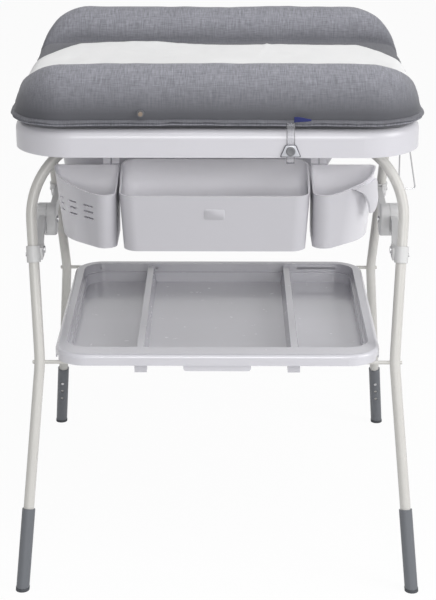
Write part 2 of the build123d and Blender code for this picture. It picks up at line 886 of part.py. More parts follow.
def make_towel(mat):
    """Cloth laid in the valley and over both open ends, with a wavy rear edge."""
    lift = towel_gap + towel_thickness
    half = towel_half_length
    cut = towel_corner_cut
    with BuildPart() as towel:
        with BuildSketch(Plane.XY.offset(tub_top)):
            with BuildLine():
                Polyline(
                    (-half, towel_rear - cut),
                    (-half, towel_front),
                    (half, towel_front),
                    (half, towel_rear - cut),
                    (half - cut, towel_rear),
                )
                ThreePointArc((half - cut, towel_rear), (half / 2, towel_rear - towel_edge_wave / 2),
                              (0, towel_rear))
                ThreePointArc((0, towel_rear), (-half / 2, towel_rear + towel_edge_wave),
                              (cut - half, towel_rear))
                Line((cut - half, towel_rear), (-half, towel_rear - cut))
            make_face()
        extrude(amount=max(mat_crest_heights) - tub_top + lift)
        add(mat.part.moved(Location((0, 0, lift))), mode=Mode.INTERSECT)
        add(mat.part.moved(Location((0, 0, towel_gap))), mode=Mode.SUBTRACT)
    return towel


def make_valve(mat):
    """Inflation valve on the face of the front bolster, above the seam."""
    with BuildPart() as valve:
        with BuildSketch(Plane.XZ.offset(mat_half_depth - mat_drawn_in - valve_length)):
            with Locations((valve_x, valve_height)):
                Circle(valve_radius)
        extrude(amount=1.6 * valve_length)
        add(mat.part, mode=Mode.SUBTRACT)
    return valve


def make_valve_cap():
    """Cap pressed on the front of the valve."""
    start = mat_half_depth - mat_drawn_in + 0.6 * valve_length
    with BuildPart() as cap:
        with BuildSketch(Plane.XZ.offset(start)):
            with Locations((valve_x, valve_height)):
                Circle(valve_cap_radius)
        extrude(amount=valve_cap_length)
        fillet(cap.faces().sort_by(Axis.Y)[0].edges(), valve_cap_length / 5)
    return cap


def make_side_tag():
    """Blank cloth tag that stands up in front of the front seam."""
    front = -mat_half_depth - seam_width
    with BuildPart() as tag:
        box_between(
            (tag_x - tag_width / 2, front - tag_thickness, mat_seam_height),
            (tag_x + tag_width / 2, front, mat_seam_height + tag_length),
        )
        fillet(tag.edges().filter_by(Axis.X), tag_thickness / 3)
    return tag


def make_strap():
    """Clear strap from the mat's seam down behind its tab, with a short tail below."""
    seam_bottom = mat_seam_height - seam_thickness / 2
    with BuildPart() as strap:
        box_between(
            (strap_x - strap_width / 2, strap_face - strap_thickness, tab_bottom - strap_tail),
            (strap_x + strap_width / 2, strap_face, seam_bottom),
        )
    return strap


def make_strap_tab():
    """Flared tab on the end of the strap, over the skirt."""
    tab_top = tab_bottom + tab_height
    with BuildPart() as tab:
        with BuildSketch(Plane.XZ.offset(strap_thickness - strap_face)):
            with BuildLine():
                Polyline(
                    (strap_x - tab_bottom_width / 2, tab_bottom),
                    (strap_x - tab_top_width / 2, tab_top),
                    (strap_x + tab_top_width / 2, tab_top),
                    (strap_x + tab_bottom_width / 2, tab_bottom),
                    close=True,
                )
            make_face()
        extrude(amount=tab_thickness)
    return tab


def make_strap_snap():
    """Press stud on the tab."""
    with BuildPart() as snap:
        with BuildSketch(Plane.XZ.offset(tab_thickness + strap_thickness - strap_face)):
            with Locations((strap_x, snap_height)):
                Circle(snap_radius)
        extrude(amount=snap_thickness)
        fillet(snap.faces().sort_by(Axis.Y)[0].edges(), snap_thickness / 2)
    return snap


def crossbar_hooks(places, hook_width, rear_rim):
    """Hooks that rise from a container's back wall and lie over the front half of the crossbar."""
    reach = tube_radius + loose_gap
    outer = reach + hook_thickness
    bar_y = -crossbar_half_depth
    web_low = rear_rim - hook_web_height
    with BuildPart() as hooks:
        for x in places:
            with BuildSketch(Plane.YZ.offset(x - hook_width / 2)):
                with Locations((bar_y, crossbar_height)):
                    Circle(outer)
                    Circle(reach, mode=Mode.SUBTRACT)
                    Rectangle(4 * outer, 4 * outer, align=(Align.CENTER, Align.MAX), mode=Mode.SUBTRACT)
                    Rectangle(4 * outer, 4 * outer, align=(Align.MIN, Align.CENTER), mode=Mode.SUBTRACT)
                with Locations((bar_y - outer, web_low)):
                    Rectangle(hook_thickness, crossbar_height - web_low, align=(Align.MIN, Align.MIN))
                with Locations((container_rear - container_wall / 2, web_low)):
                    Rectangle(bar_y - outer + hook_thickness - container_rear + container_wall / 2,
                              hook_web_height, align=(Align.MIN, Align.MIN))
            extrude(amount=hook_width)
    return hooks


def rim_cutter(rear_rim):
    """Block above the rim, which slopes down from the back wall and is level at the front."""
    high = 4 * (container_rear_rim - container_bottom)
    front = container_rear - 2 * box_depth
    with BuildPart() as cutter:
        with BuildSketch(Plane.YZ.offset(-long_cut / 2)):
            with BuildLine():
                Polyline(
                    (container_rear + container_wall, rear_rim),
                    (container_rear - container_wall, rear_rim),
                    (container_rear - rim_slope_depth, container_front_rim),
                    (front, container_front_rim),
                    (front, container_bottom + high),
                    (container_rear + container_wall, container_bottom + high),
                    close=True,
                )
            make_face()
        extrude(amount=long_cut)
    return cutter


def moved_in(corners, distances):
    """Corners of an outline whose edges are moved inwards, with one distance for each edge."""
    edges = []
    for number, distance in enumerate(distances):
        start = corners[number]
        along = (corners[(number + 1) % len(corners)] - start).normalized()
        edges.append((start + Vector(-along.Y, along.X) * distance, along))
    moved = []
    for number, (start, along) in enumerate(edges):
        before, before_along = edges[number - 1]
        between = start - before
        cross = before_along.X * along.Y - before_along.Y * along.X
        share = (between.X * along.Y - between.Y * along.X) / cross
        moved.append(before + before_along * share)
    return moved


def box_outline(level, share, wall):
    """Plan of the centre box at one level, for a share of the walls' lean and a depth into the wall."""
    half_width = box_half_width - share * box_side_lean - wall
    front = box_front + share * box_front_lean + wall
    rear = container_rear - wall
    with BuildSketch(Plane.XY.offset(level)) as outline:
        with Locations((0, (front + rear) / 2)):
            RectangleRounded(2 * half_width, rear - front, box_corner - wall)
    return outline.sketch


def side_outline(level, share, wall):
    """Plan of a side container at one level: straight back and inner wall, slanting rounded front."""
    leans = (side_inner_lean, side_sweep_lean, side_end_lean, 0)
    corners = moved_in(side_corners, [share * lean_in + wall for lean_in in leans])
    sweep = side_sweep_round - share * side_sweep_lean - wall
    with BuildSketch(Plane.XY.offset(level)) as outline:
        with BuildLine():
            FilletPolyline(
                *corners,
                close=True,
                radius=[side_rear_corner - wall, side_front_round - wall, sweep, side_end_round - wall],
            )
        make_face()
    return outline.sketch


def sweep_centre():
    """Middle of the arc that rounds a side container's front into its outer end at the rim."""
    turn = side_corners[2]
    back = (side_corners[1] - turn).normalized()
    on = (side_corners[3] - turn).normalized()
    middle = (back + on).normalized()
    across = sqrt(1 - back.dot(middle) ** 2)
    return turn + middle * (side_sweep_round / across)


def make_container(outline, rear_rim, hook_places, hook_width, extras=()):
    """Open container lofted from its bottom to its rim, with extra pieces on its outside, hollowed,
    cut along the rim and given its hooks."""
    low = container_bottom
    high = container_rear_rim
    wall = container_wall
    outer_levels = [outline(low, 1, 0), outline(high, 0, 0)]
    inner_levels = [outline(low + wall, 1, wall), outline(high + wall, 0, wall)]
    cutter = rim_cutter(rear_rim)
    hooks = crossbar_hooks(hook_places, hook_width, rear_rim)
    with BuildPart() as container:
        loft(outer_levels)
        for extra in extras:
            add(extra.part)
        loft(inner_levels, mode=Mode.SUBTRACT)
        add(cutter.part, mode=Mode.SUBTRACT)
        add(hooks.part)
    return container


def make_handle_flap():
    """Turned-down handle tongue round the outer front of the right container."""
    centre = sweep_centre()
    wall_reach = side_sweep_round - container_wall
    inside = wall_reach - 2 * container_wall
    tip = wall_reach + flap_reach
    flap_start = radians(flap_middle_angle - flap_sweep / 2)
    outward = radians(flap_middle_angle)
    flap_low = flap_top - flap_drop
    with BuildPart() as flap:
        with BuildSketch(Plane(centre, x_dir=(cos(flap_start), sin(flap_start), 0),
                               z_dir=(sin(flap_start), -cos(flap_start), 0))):
            with BuildLine():
                Line((inside, flap_top), (wall_reach + flap_reach / 3, flap_top))
                ThreePointArc((wall_reach + flap_reach / 3, flap_top),
                              (tip - flap_reach / 5, flap_top - flap_drop / 5),
                              (tip, flap_top - flap_drop))
                Line((tip, flap_top - flap_drop), (tip - flap_thickness, flap_top - flap_drop))
                ThreePointArc((tip - flap_thickness, flap_top - flap_drop),
                              (tip - flap_reach / 5 - flap_thickness, flap_top - flap_drop / 5 - flap_thickness),
                              (wall_reach + flap_reach / 3, flap_top - flap_thickness))
                Line((wall_reach + flap_reach / 3, flap_top - flap_thickness),
                     (inside, flap_top - flap_thickness))
                Line((inside, flap_top - flap_thickness), (inside, flap_top))
            make_face()
        revolve(axis=Axis(centre, (0, 0, 1)), revolution_arc=flap_sweep)
        with BuildSketch(Plane(centre, x_dir=(-sin(outward), cos(outward), 0),
                               z_dir=(cos(outward), sin(outward), 0))):
            with BuildLine():
                FilletPolyline(
                    (-flap_top_half_width, flap_top),
                    (-flap_top_half_width / 2, flap_top - flap_drop / 4),
                    (-flap_tip_half_width, flap_low),
                    (flap_tip_half_width, flap_low),
                    (flap_top_half_width / 2, flap_top - flap_drop / 4),
                    (flap_top_half_width, flap_top),
                    radius=[2 * flap_tip_round, flap_tip_round, flap_tip_round, 2 * flap_tip_round],
                )
                Line((flap_top_half_width, flap_top), (-flap_top_half_width, flap_top))
            make_face()
        extrude(amount=2 * tip, mode=Mode.INTERSECT)
    return flap


def shifted(source):
    """A container at its place along the crossbar."""
    with BuildPart() as piece:
        add(source.part.moved(Location((container_shift, 0, 0))))
    return piece


def make_left_basket():
    """Left container, pierced by three columns of short slots."""
    centre = sweep_centre()
    body = make_container(side_outline, side_rear_rim, side_hook_places, side_hook_width)
    with BuildPart() as basket:
        add(body.part)
        for angle in slot_row_angles:
            for row in range(3):
                level = slot_top - row * slot_pitch
                with Locations(Location((centre.X, centre.Y, level), (0, 0, -angle))):
                    with Locations((side_sweep_round, 0, 0)):
                        Box(side_sweep_round / 2, slot_length, slot_height, mode=Mode.SUBTRACT)
    return mirrored(basket, True, False)


def make_tray():
    """Tray with a rolled rim, a pan between the rods, two divider ridges and a ledge on the rear rod."""
    width = 2 * tray_half_width
    depth = tray_rear - tray_front
    middle = (tray_rear + tray_front) / 2
    pan_depth = pan_rear - pan_front
    pan_middle = (pan_rear + pan_front) / 2
    rim = tray_rim_width
    well_front = tray_front + tray_front_rim_width
    well_rear = tray_rear - rim
    with BuildPart() as tray:
        with BuildSketch(Plane.XY.offset(tray_shelf)):
            with Locations((0, middle)):
                RectangleRounded(width, depth, tray_corner)
        extrude(amount=tray_rim_height - tray_shelf)
        fillet(tray.faces().sort_by(Axis.Z)[-1].edges(), tray_rim_round)
        with BuildSketch(Plane.XY.offset(tray_floor_height - tray_wall)):
            with Locations((0, pan_middle)):
                RectangleRounded(2 * pan_half_width, pan_depth, pan_corner)
        extrude(amount=tray_shelf - tray_floor_height + tray_wall)
        with BuildSketch(Plane.XY.offset(tray_shelf + tray_wall)):
            with Locations((0, (well_front + well_rear) / 2)):
                RectangleRounded(width - 2 * rim, well_rear - well_front, tray_corner - rim)
        extrude(amount=tray_rim_height, mode=Mode.SUBTRACT)
        with BuildSketch(Plane.XY.offset(tray_floor_height)):
            with Locations((0, pan_middle)):
                RectangleRounded(2 * (pan_half_width - tray_wall), pan_depth - 2 * tray_wall,
                                 pan_corner - tray_wall)
        extrude(amount=tray_rim_height, mode=Mode.SUBTRACT)
        with BuildSketch(Plane.XY.offset(tray_shelf)):
            with Locations((0, middle)):
                RectangleRounded(width - 2 * tray_wall, depth - 2 * tray_wall, tray_corner - tray_wall)
                RectangleRounded(width - 2 * rim + 2 * tray_wall, depth - 2 * rim + 2 * tray_wall,
                                 tray_corner - rim + tray_wall, mode=Mode.SUBTRACT)
        extrude(amount=tray_rim_height - tray_shelf - tray_rim_round, mode=Mode.SUBTRACT)
        ridge_top = tray_rim_height - divider_drop
        for x in (-divider_place, divider_place):
            with BuildSketch(Plane.XZ.offset(-pan_rear)):
                with BuildLine():
                    Polyline(
                        (x - divider_bottom_width / 2, tray_floor_height),
                        (x + divider_bottom_width / 2, tray_floor_height),
                        (x + divider_top_width / 2, ridge_top),
                        (x - divider_top_width / 2, ridge_top),
                        close=True,
                    )
                make_face()
            extrude(amount=pan_depth)
            for low, high in ((well_front, pan_front), (pan_rear, well_rear)):
                box_between(
                    (x - divider_top_width / 2, low, tray_shelf),
                    (x + divider_top_width / 2, high, ridge_top),
                )
        box_between(
            (-rear_ledge_half_width, tray_rear - tray_wall, tray_shelf),
            (rear_ledge_half_width, rear_ledge_end, tray_shelf + rear_ledge_thickness),
        )
        with Locations((tray_slot_x, tray_rear, tray_slot_level)):
            Box(tray_slot_width, 4 * rim, tray_slot_height, mode=Mode.SUBTRACT)
        for x in tray_hole_places:
            with Locations((x, tray_rear, tray_slot_level)):
                Cylinder(tray_hole_radius, 4 * rim, rotation=(90, 0, 0), mode=Mode.SUBTRACT)
        for side in (-1, 1):
            with Locations((side * tray_half_width, frame_depth(rod_height), tray_shelf)):
                Box(corner_notch, 2 * corner_notch, corner_notch, mode=Mode.SUBTRACT)
    return tray


def make_tray_clip():
    """Clip under the tray that straddles the front rod, open downwards."""
    rod_y = frame_depth(rod_height)
    half = rod_radius + loose_gap + tray_clip_wall
    with BuildPart() as clip:
        box_between(
            (clip_place - tray_clip_width / 2, rod_y - half, rod_height - tray_clip_drop),
            (clip_place + tray_clip_width / 2, rod_y + half, tray_shelf),
        )
        notch = rod_radius + loose_gap
        box_between(
            (clip_place - tray_clip_width, rod_y - notch, rod_height - 2 * tray_clip_drop),
            (clip_place + tray_clip_width, rod_y + notch, rod_height),
            Mode.SUBTRACT,
        )
        with Locations((clip_place, rod_y, rod_height)):
            Cylinder(notch, 2 * tray_clip_width, rotation=(0, 90, 0), mode=Mode.SUBTRACT)
    return clip


def make_tray_lip():
    """Lip under the middle of the tray's front edge."""
    front = tray_front + lip_setback
    with BuildPart() as lip:
        box_between(
            (-lip_half_width, front - lip_thickness, tray_shelf - lip_drop),
            (lip_half_width, front, tray_shelf),
        )
        fillet(lip.edges().filter_by(Axis.Y).sort_by(Axis.Z)[:2], lip_drop / 2)
    return lip


leg_tube = make_leg_tube()
tray_rod = make_tray_rod()
collar = make_collar()
rivet = make_rivet()
pin_start = arm_half_width - arm_thickness / 2 - loose_gap - ear_thickness - press_gap
pin_length = 2 * (arm_half_width - pin_start)
pivot_pin = side_pin(pin_start, pin_length, pivot_pin_radius, pivot_y, knee_height)

for rear, end in ((False, "front"), (True, "rear")):
    keep(mirrored(leg_tube, False, rear), f"{end}_leg_tube")
    keep(mirrored(tray_rod, False, rear), f"{end}_tray_rod")
    keep(pair(pivot_pin, rear), f"{end}_pivot_pins")
    keep(pair(rivet, rear), f"{end}_collar_rivets")
    for left, side in ((False, "right"), (True, "left")):
        keep(mirrored(collar, left, rear), f"{end}_collar_{side}")
        keep(mirrored(make_sleeve(), left, rear), f"foot_sleeve_{end}_{side}")
        keep(mirrored(make_foot_pad(), left, rear), f"foot_pad_{end}_{side}")
        keep(mirrored(make_snap_clip(), left, rear), f"snap_clip_{end}_{side}")

for left, side in ((False, "right"), (True, "left")):
    keep(mirrored(make_front_arm(), left, False), f"front_arm_{side}")
    keep(mirrored(make_rear_arm(), left, False), f"rear_arm_{side}")
    keep(mirrored(make_release_button(), left, False), f"hub_button_{side}")
    keep(mirrored(make_tray_clip(), left, False), f"tray_clip_{side}")
keep(pair(make_hub_pin(), False), "hub_pins")

keep(make_tub(), "tub")
keep(make_drain_outlet(), "drain_outlet")
keep(make_drain_plug(), "drain_plug")
keep(make_hook_bracket(), "hook_bracket")
keep(make_wire_hook(), "wire_hook")

mat_cushion = make_mat()
keep(mat_cushion, "mat_cushion")
keep(make_mat_seam(mat_cushion), "mat_seam")
keep(make_towel(mat_cushion), "towel")
keep(make_valve(mat_cushion), "inflation_valve")
keep(make_valve_cap(), "valve_cap")
keep(make_side_tag(), "side_tag")
keep(make_strap(), "mat_strap")
keep(make_strap_tab(), "strap_tab")
keep(make_strap_snap(), "strap_snap")

centre_box = make_container(box_outline, container_rear_rim, box_hook_places, box_hook_width)
keep(shifted(centre_box), "centre_box")
keep(shifted(make_left_basket()), "left_basket")
handle_flap = make_handle_flap()
right_jug = make_container(side_outline, side_rear_rim, side_hook_places, side_hook_width, [handle_flap])
keep(shifted(right_jug), "right_jug")
keep(make_tray(), "tray")
keep(make_tray_lip(), "tray_lip")
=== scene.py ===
"""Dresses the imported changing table: cloth and film pieces, finishes and a plain studio."""

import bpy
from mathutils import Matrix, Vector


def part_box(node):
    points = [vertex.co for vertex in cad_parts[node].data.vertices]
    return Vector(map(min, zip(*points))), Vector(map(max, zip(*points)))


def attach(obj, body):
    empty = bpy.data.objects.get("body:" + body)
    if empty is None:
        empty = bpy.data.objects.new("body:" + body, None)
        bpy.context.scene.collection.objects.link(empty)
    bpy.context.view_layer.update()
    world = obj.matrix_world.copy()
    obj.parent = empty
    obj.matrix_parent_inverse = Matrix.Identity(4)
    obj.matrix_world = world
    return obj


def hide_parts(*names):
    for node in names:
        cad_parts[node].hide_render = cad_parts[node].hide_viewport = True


bl_info = {
    "name": "Changing table dressing",
    "version": (1, 0, 0),
    "blender": (4, 5, 0),
    "location": "View3D > Sidebar > Changing table",
    "description": "Cloth pieces, finishes and a studio for a folding changing table with a bath tub",
    "category": "Object",
}

from math import atan2, cos, exp, hypot, pi, radians, sin, sqrt

import bpy
from mathutils import Vector, noise

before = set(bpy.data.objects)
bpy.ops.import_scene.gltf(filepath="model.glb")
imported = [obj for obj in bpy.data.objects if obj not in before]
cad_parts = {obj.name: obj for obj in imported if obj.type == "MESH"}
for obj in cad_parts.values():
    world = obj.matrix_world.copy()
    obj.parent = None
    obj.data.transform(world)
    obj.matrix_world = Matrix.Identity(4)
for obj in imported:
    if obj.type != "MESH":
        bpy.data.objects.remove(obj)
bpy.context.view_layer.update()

# Outputs of the Texture Coordinate node
SURFACE_NORMAL = 1
OBJECT_PLACE = 3

# Thread counts of the woven finishes
COVER_WEAVE = 260.0
TAG_WEAVE = 700.0


class Shade:
    """A shader value; calculating with it adds Math nodes."""

    def __init__(self, finish, socket):
        self.finish = finish
        self.socket = socket

    def calculate(self, operation, first, second):
        return self.finish.node("ShaderNodeMath", {"operation": operation}, {0: first, 1: second})

    def __add__(self, other):
        return self.calculate("ADD", self, other)

    def __radd__(self, other):
        return self.calculate("ADD", other, self)

    def __sub__(self, other):
        return self.calculate("SUBTRACT", self, other)

    def __rsub__(self, other):
        return self.calculate("SUBTRACT", other, self)

    def __mul__(self, other):
        return self.calculate("MULTIPLY", self, other)

    def __rmul__(self, other):
        return self.calculate("MULTIPLY", other, self)


class NodeMaker:
    """Adds nodes to one node tree."""

    def __init__(self, tree):
        self.tree = tree

    def node(self, kind, settings=None, sockets=None, output=0):
        """Add a node: its settings first, then the values or links of its sockets."""
        node = self.tree.nodes.new(kind)
        for key, value in (settings or {}).items():
            setattr(node, key, value)
        for key, value in (sockets or {}).items():
            self.feed(node.inputs[key], value)
        return Shade(self, node.outputs[output])

    def feed(self, socket, value):
        if isinstance(value, Shade):
            self.tree.links.new(value.socket, socket)
        else:
            socket.default_value = value

    def seen_directly(self):
        """1 on rays from the camera and on mirrored or passed rays, else 0."""
        path = self.node("ShaderNodeLightPath").socket.node
        rays = ("Is Camera Ray", "Is Glossy Ray", "Is Transmission Ray")
        camera, reflected, passed = [Shade(self, path.outputs[name]) for name in rays]
        return camera + reflected + passed


class Finish(NodeMaker):
    """A procedural material and the nodes in it."""

    def __init__(self, name):
        self.material = bpy.data.materials.new(name)
        self.material.use_nodes = True
        super().__init__(self.material.node_tree)
        self.shader = self.tree.nodes["Principled BSDF"]

    def surface(self, **sockets):
        """Set or link sockets of the main shader, named with underscores for spaces."""
        for key, value in sockets.items():
            self.feed(self.shader.inputs[key.replace("_", " ")], value)

    def place(self, scale=(1.0, 1.0, 1.0)):
        """Object coordinates in metres, scaled."""
        where = self.node("ShaderNodeTexCoord", output=OBJECT_PLACE)
        return self.node("ShaderNodeMapping", None, {"Vector": where, "Scale": scale})

    def part_of(self, coordinate, axis):
        """One number of a texture coordinate: 0 for x, 1 for y, 2 for z."""
        where = self.node("ShaderNodeTexCoord", output=coordinate)
        return self.node("ShaderNodeSeparateXYZ", None, {0: where}, axis)

    def grain(self, scale, detail, stretch=(1.0, 1.0, 1.0)):
        """Noise in the object's own frame."""
        return self.node("ShaderNodeTexNoise", None, {
            "Vector": self.place(stretch), "Scale": scale, "Detail": detail})

    def threads(self, scale, direction, distortion=0.4):
        """Bands of thread across one direction."""
        return self.node("ShaderNodeTexWave", {"bands_direction": direction}, {
            "Vector": self.place(), "Scale": scale, "Distortion": distortion, "Detail": 1.0,
            "Detail Scale": 1.5})

    def between(self, factor, first, second):
        """A colour between two, by a factor."""
        return self.node("ShaderNodeMix", {"data_type": "RGBA"}, {0: factor, 6: first, 7: second}, 2)

    def window(self, value, low, high):
        """A value stretched so that low becomes 0 and high becomes 1, and held there."""
        return self.node("ShaderNodeMapRange", None, {0: value, 1: low, 2: high, 3: 0.0, 4: 1.0})

    def relief(self, height, distance, strength=1.0):
        """A bump from a height."""
        return self.node("ShaderNodeBump", None, {"Height": height, "Distance": distance, "Strength": strength})


def shade_of(colour, share):
    """A colour made lighter or darker."""
    return tuple(min(1.0, part * share) for part in colour[:3]) + (1.0,)


def moulded_finish(name, colour, roughness, grain_depth, coat, rear=None, rim=None):
    """Injection moulded plastic: faint flow clouds, fine grain, slight scuffs in the gloss. With a rear colour
    and the two depths between which it comes in, the plastic turns to that colour towards the back: painted
    light on the far walls where that colour is paler, painted shade where it is darker. With a rim colour,
    faces that look up have that colour, a painted highlight."""
    finish = Finish(name)
    cloud = finish.grain(5.0, 3.0)
    fine = finish.grain(1400.0, 1.0)
    scuff = finish.window(finish.grain(60.0, 5.0, (1.0, 1.0, 3.0)), 0.55, 0.85)
    tone = finish.between(cloud, shade_of(colour, 0.965), shade_of(colour, 1.03))
    # Painted light where the rear colour is paler and painted shade where it is darker, coming in towards the
    # back.
    if rear:
        depth = finish.part_of(OBJECT_PLACE, 1)
        tone = finish.between(finish.window(depth, *rear[1:]), tone, rear[0])
    # Painted highlight: faces that look up take the rim colour.
    if rim:
        upward = finish.part_of(SURFACE_NORMAL, 2)
        tone = finish.between(finish.window(upward, 0.7, 0.9), tone, rim)
    finish.surface(
        Base_Color=tone,
        Roughness=roughness + 0.06 * cloud + 0.08 * scuff,
        Normal=finish.relief(fine, grain_depth, 0.35),
        Coat_Weight=coat,
        Coat_Roughness=0.12,
    )
    return finish.material


def painted_finish(name, colour):
    """Powder coat on steel tube: orange peel and a few tiny specks."""
    finish = Finish(name)
    peel = finish.grain(420.0, 2.0)
    speck = finish.window(finish.grain(900.0, 0.0), 0.70, 0.76)
    cloud = finish.grain(9.0, 2.0)
    tone = finish.between(cloud, shade_of(colour, 0.97), shade_of(colour, 1.02))
    finish.surface(
        Base_Color=finish.between(0.35 * speck, tone, shade_of(colour, 0.75)),
        Roughness=0.34 + 0.10 * peel,
        Normal=finish.relief(peel, 0.00012, 0.3),
        Coat_Weight=0.25,
        Coat_Roughness=0.2,
    )
    return finish.material


def steel_finish(name, colour, stretch, roughness):
    """Bare metal with drawn lines along the piece."""
    finish = Finish(name)
    lines = finish.grain(500.0, 3.0, stretch)
    finish.surface(
        Base_Color=finish.between(lines, shade_of(colour, 0.85), shade_of(colour, 1.08)),
        Metallic=1.0,
        Roughness=roughness + 0.15 * lines,
        Normal=finish.relief(lines, 0.00004, 0.4),
    )
    return finish.material


def melange_finish(name, dark, light, weave, painted_shade=None):
    """Coated cover cloth: slubbed melange threads both ways over a fine plain weave. With a share and two
    heights, painted shade makes the cloth darker by that share from the first height to the second."""
    finish = Finish(name)
    along = finish.grain(1.0, 3.0, (55.0, 540.0, 540.0))
    across = finish.grain(1.0, 3.0, (500.0, 52.0, 52.0))
    patch = finish.grain(7.0, 3.0)
    mixed = finish.window(0.45 * along + 0.55 * across, 0.30, 0.72)
    tone = finish.between(mixed, dark, light)
    tone = finish.between(finish.window(patch, 0.3, 0.7) * 0.15, tone, shade_of(dark, 1.1))
    # Painted shade: the cloth darkens by a share between two heights.
    if painted_shade:
        height = finish.part_of(OBJECT_PLACE, 2)
        tone = finish.between(finish.window(height, *painted_shade[1:]) * painted_shade[0], tone, shade_of(dark, 0.6))
    warp = finish.threads(weave, "X")
    weft = finish.threads(weave, "DIAGONAL")
    threads = warp * weft + 0.6 * along + 0.6 * across
    finish.surface(
        Base_Color=tone,
        Roughness=0.66 + 0.16 * mixed,
        Normal=finish.relief(threads, 0.0003, 0.4),
        Sheen_Weight=0.12,
        Sheen_Roughness=0.5,
        Specular_IOR_Level=0.35,
    )
    return finish.material


def towel_finish(name, colour):
    """Soft cotton with short loops and faint shading in the folds."""
    finish = Finish(name)
    loops = finish.grain(900.0, 3.0)
    rows = finish.threads(160.0, "X", 1.5)
    cloud = finish.grain(9.0, 4.0)
    finish.surface(
        Base_Color=finish.between(cloud, shade_of(colour, 0.93), shade_of(colour, 1.04)),
        Roughness=0.86 + 0.1 * loops,
        Normal=finish.relief(loops + 0.4 * rows, 0.0008, 0.45),
        Sheen_Weight=0.25,
        Sheen_Roughness=0.6,
        Specular_IOR_Level=0.2,
    )
    return finish.material


def rubber_finish(name, colour):
    """Matt rubber with a dusty grain."""
    finish = Finish(name)
    dust = finish.grain(240.0, 4.0)
    finish.surface(
        Base_Color=finish.between(dust, shade_of(colour, 0.8), shade_of(colour, 1.5)),
        Roughness=0.72 + 0.15 * dust,
        Normal=finish.relief(dust, 0.0003, 0.5),
    )
    return finish.material


def film_finish(name, colour, clear, edge=None):
    """Clear soft film with faint streaks. With a middle and a half width, its two edges show as dark lines."""
    finish = Finish(name)
    streak = finish.grain(90.0, 3.0, (1.0, 1.0, 0.2))
    tone = finish.between(streak, shade_of(colour, 0.9), shade_of(colour, 1.1))
    if edge:
        middle, half = edge
        off_middle = finish.part_of(OBJECT_PLACE, 0) - middle
        line = finish.window(off_middle * off_middle, (half - 0.0016) ** 2, (half - 0.0009) ** 2)
        tone = finish.between(line, tone, shade_of(colour, 0.25))
        clear = clear + 0.45 * line
    finish.surface(
        Base_Color=tone,
        Roughness=0.12 + 0.15 * streak,
        Alpha=clear,
        Normal=finish.relief(streak, 0.0003, 0.3),
        Coat_Weight=0.5,
    )
    return finish.material


def dress(material, *nodes):
    """Give CAD nodes a finish."""
    for name in nodes:
        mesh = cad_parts[name].data
        mesh.materials.clear()
        mesh.materials.append(material)


def new_piece(name, vertices, faces, material, body, slot, replaced=()):
    """A mesh object that rides on a body and stands for CAD nodes."""
    mesh = bpy.data.meshes.new(name)
    mesh.from_pydata(vertices, [], faces)
    mesh.validate()
    mesh.materials.append(material)
    for polygon in mesh.polygons:
        polygon.use_smooth = True
    piece = bpy.data.objects.new(name, mesh)
    bpy.context.scene.collection.objects.link(piece)
    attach(piece, body)
    if replaced:
        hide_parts(*replaced)
    return piece


def circle_through(a, b, c):
    """Centre and radius of the circle through three points of a section."""
    d = 2 * (a[0] * (b[1] - c[1]) + b[0] * (c[1] - a[1]) + c[0] * (a[1] - b[1]))
    squares = [p[0] ** 2 + p[1] ** 2 for p in (a, b, c)]
    y = (squares[0] * (b[1] - c[1]) + squares[1] * (c[1] - a[1]) + squares[2] * (a[1] - b[1])) / d
    z = (squares[0] * (c[0] - b[0]) + squares[1] * (a[0] - c[0]) + squares[2] * (b[0] - a[0])) / d
    return y, z, hypot(a[0] - y, a[1] - z)


def arc(a, b, c, steps):
    """Points along the arc from a through b, short of c."""
    y, z, radius = circle_through(a, b, c)
    start, middle, end = (atan2(p[1] - z, p[0] - y) for p in (a, b, c))
    while middle - start > pi:
        middle -= 2 * pi
    while middle - start < -pi:
        middle += 2 * pi
    while end - middle > pi:
        end -= 2 * pi
    while end - middle < -pi:
        end += 2 * pi
    angles = [start + (end - start) * step / steps for step in range(steps)]
    return [(y + radius * cos(angle), z + radius * sin(angle)) for angle in angles]


def mirrored(point):
    """A point of a section on the other side of its middle."""
    return -point[0], point[1]


def cloth_faces(columns, rows):
    """Faces of a cloth of two like grids of points, the lower after the upper, closed round their edges."""
    stride = rows + 1
    size = (columns + 1) * stride
    faces = []
    for i in range(columns):
        for j in range(rows):
            a = i * stride + j
            b = a + stride
            faces.append((a, b, b + 1, a + 1))
            faces.append((size + a + 1, size + b + 1, size + b, size + a))
    ring = [i * stride for i in range(columns + 1)]
    ring += [columns * stride + j for j in range(1, rows + 1)]
    ring += [i * stride + rows for i in range(columns - 1, -1, -1)]
    ring += list(range(rows - 1, 0, -1))
    for a, b in zip(ring, ring[1:] + ring[:1]):
        faces.append((a, size + a, size + b, b))
    return faces


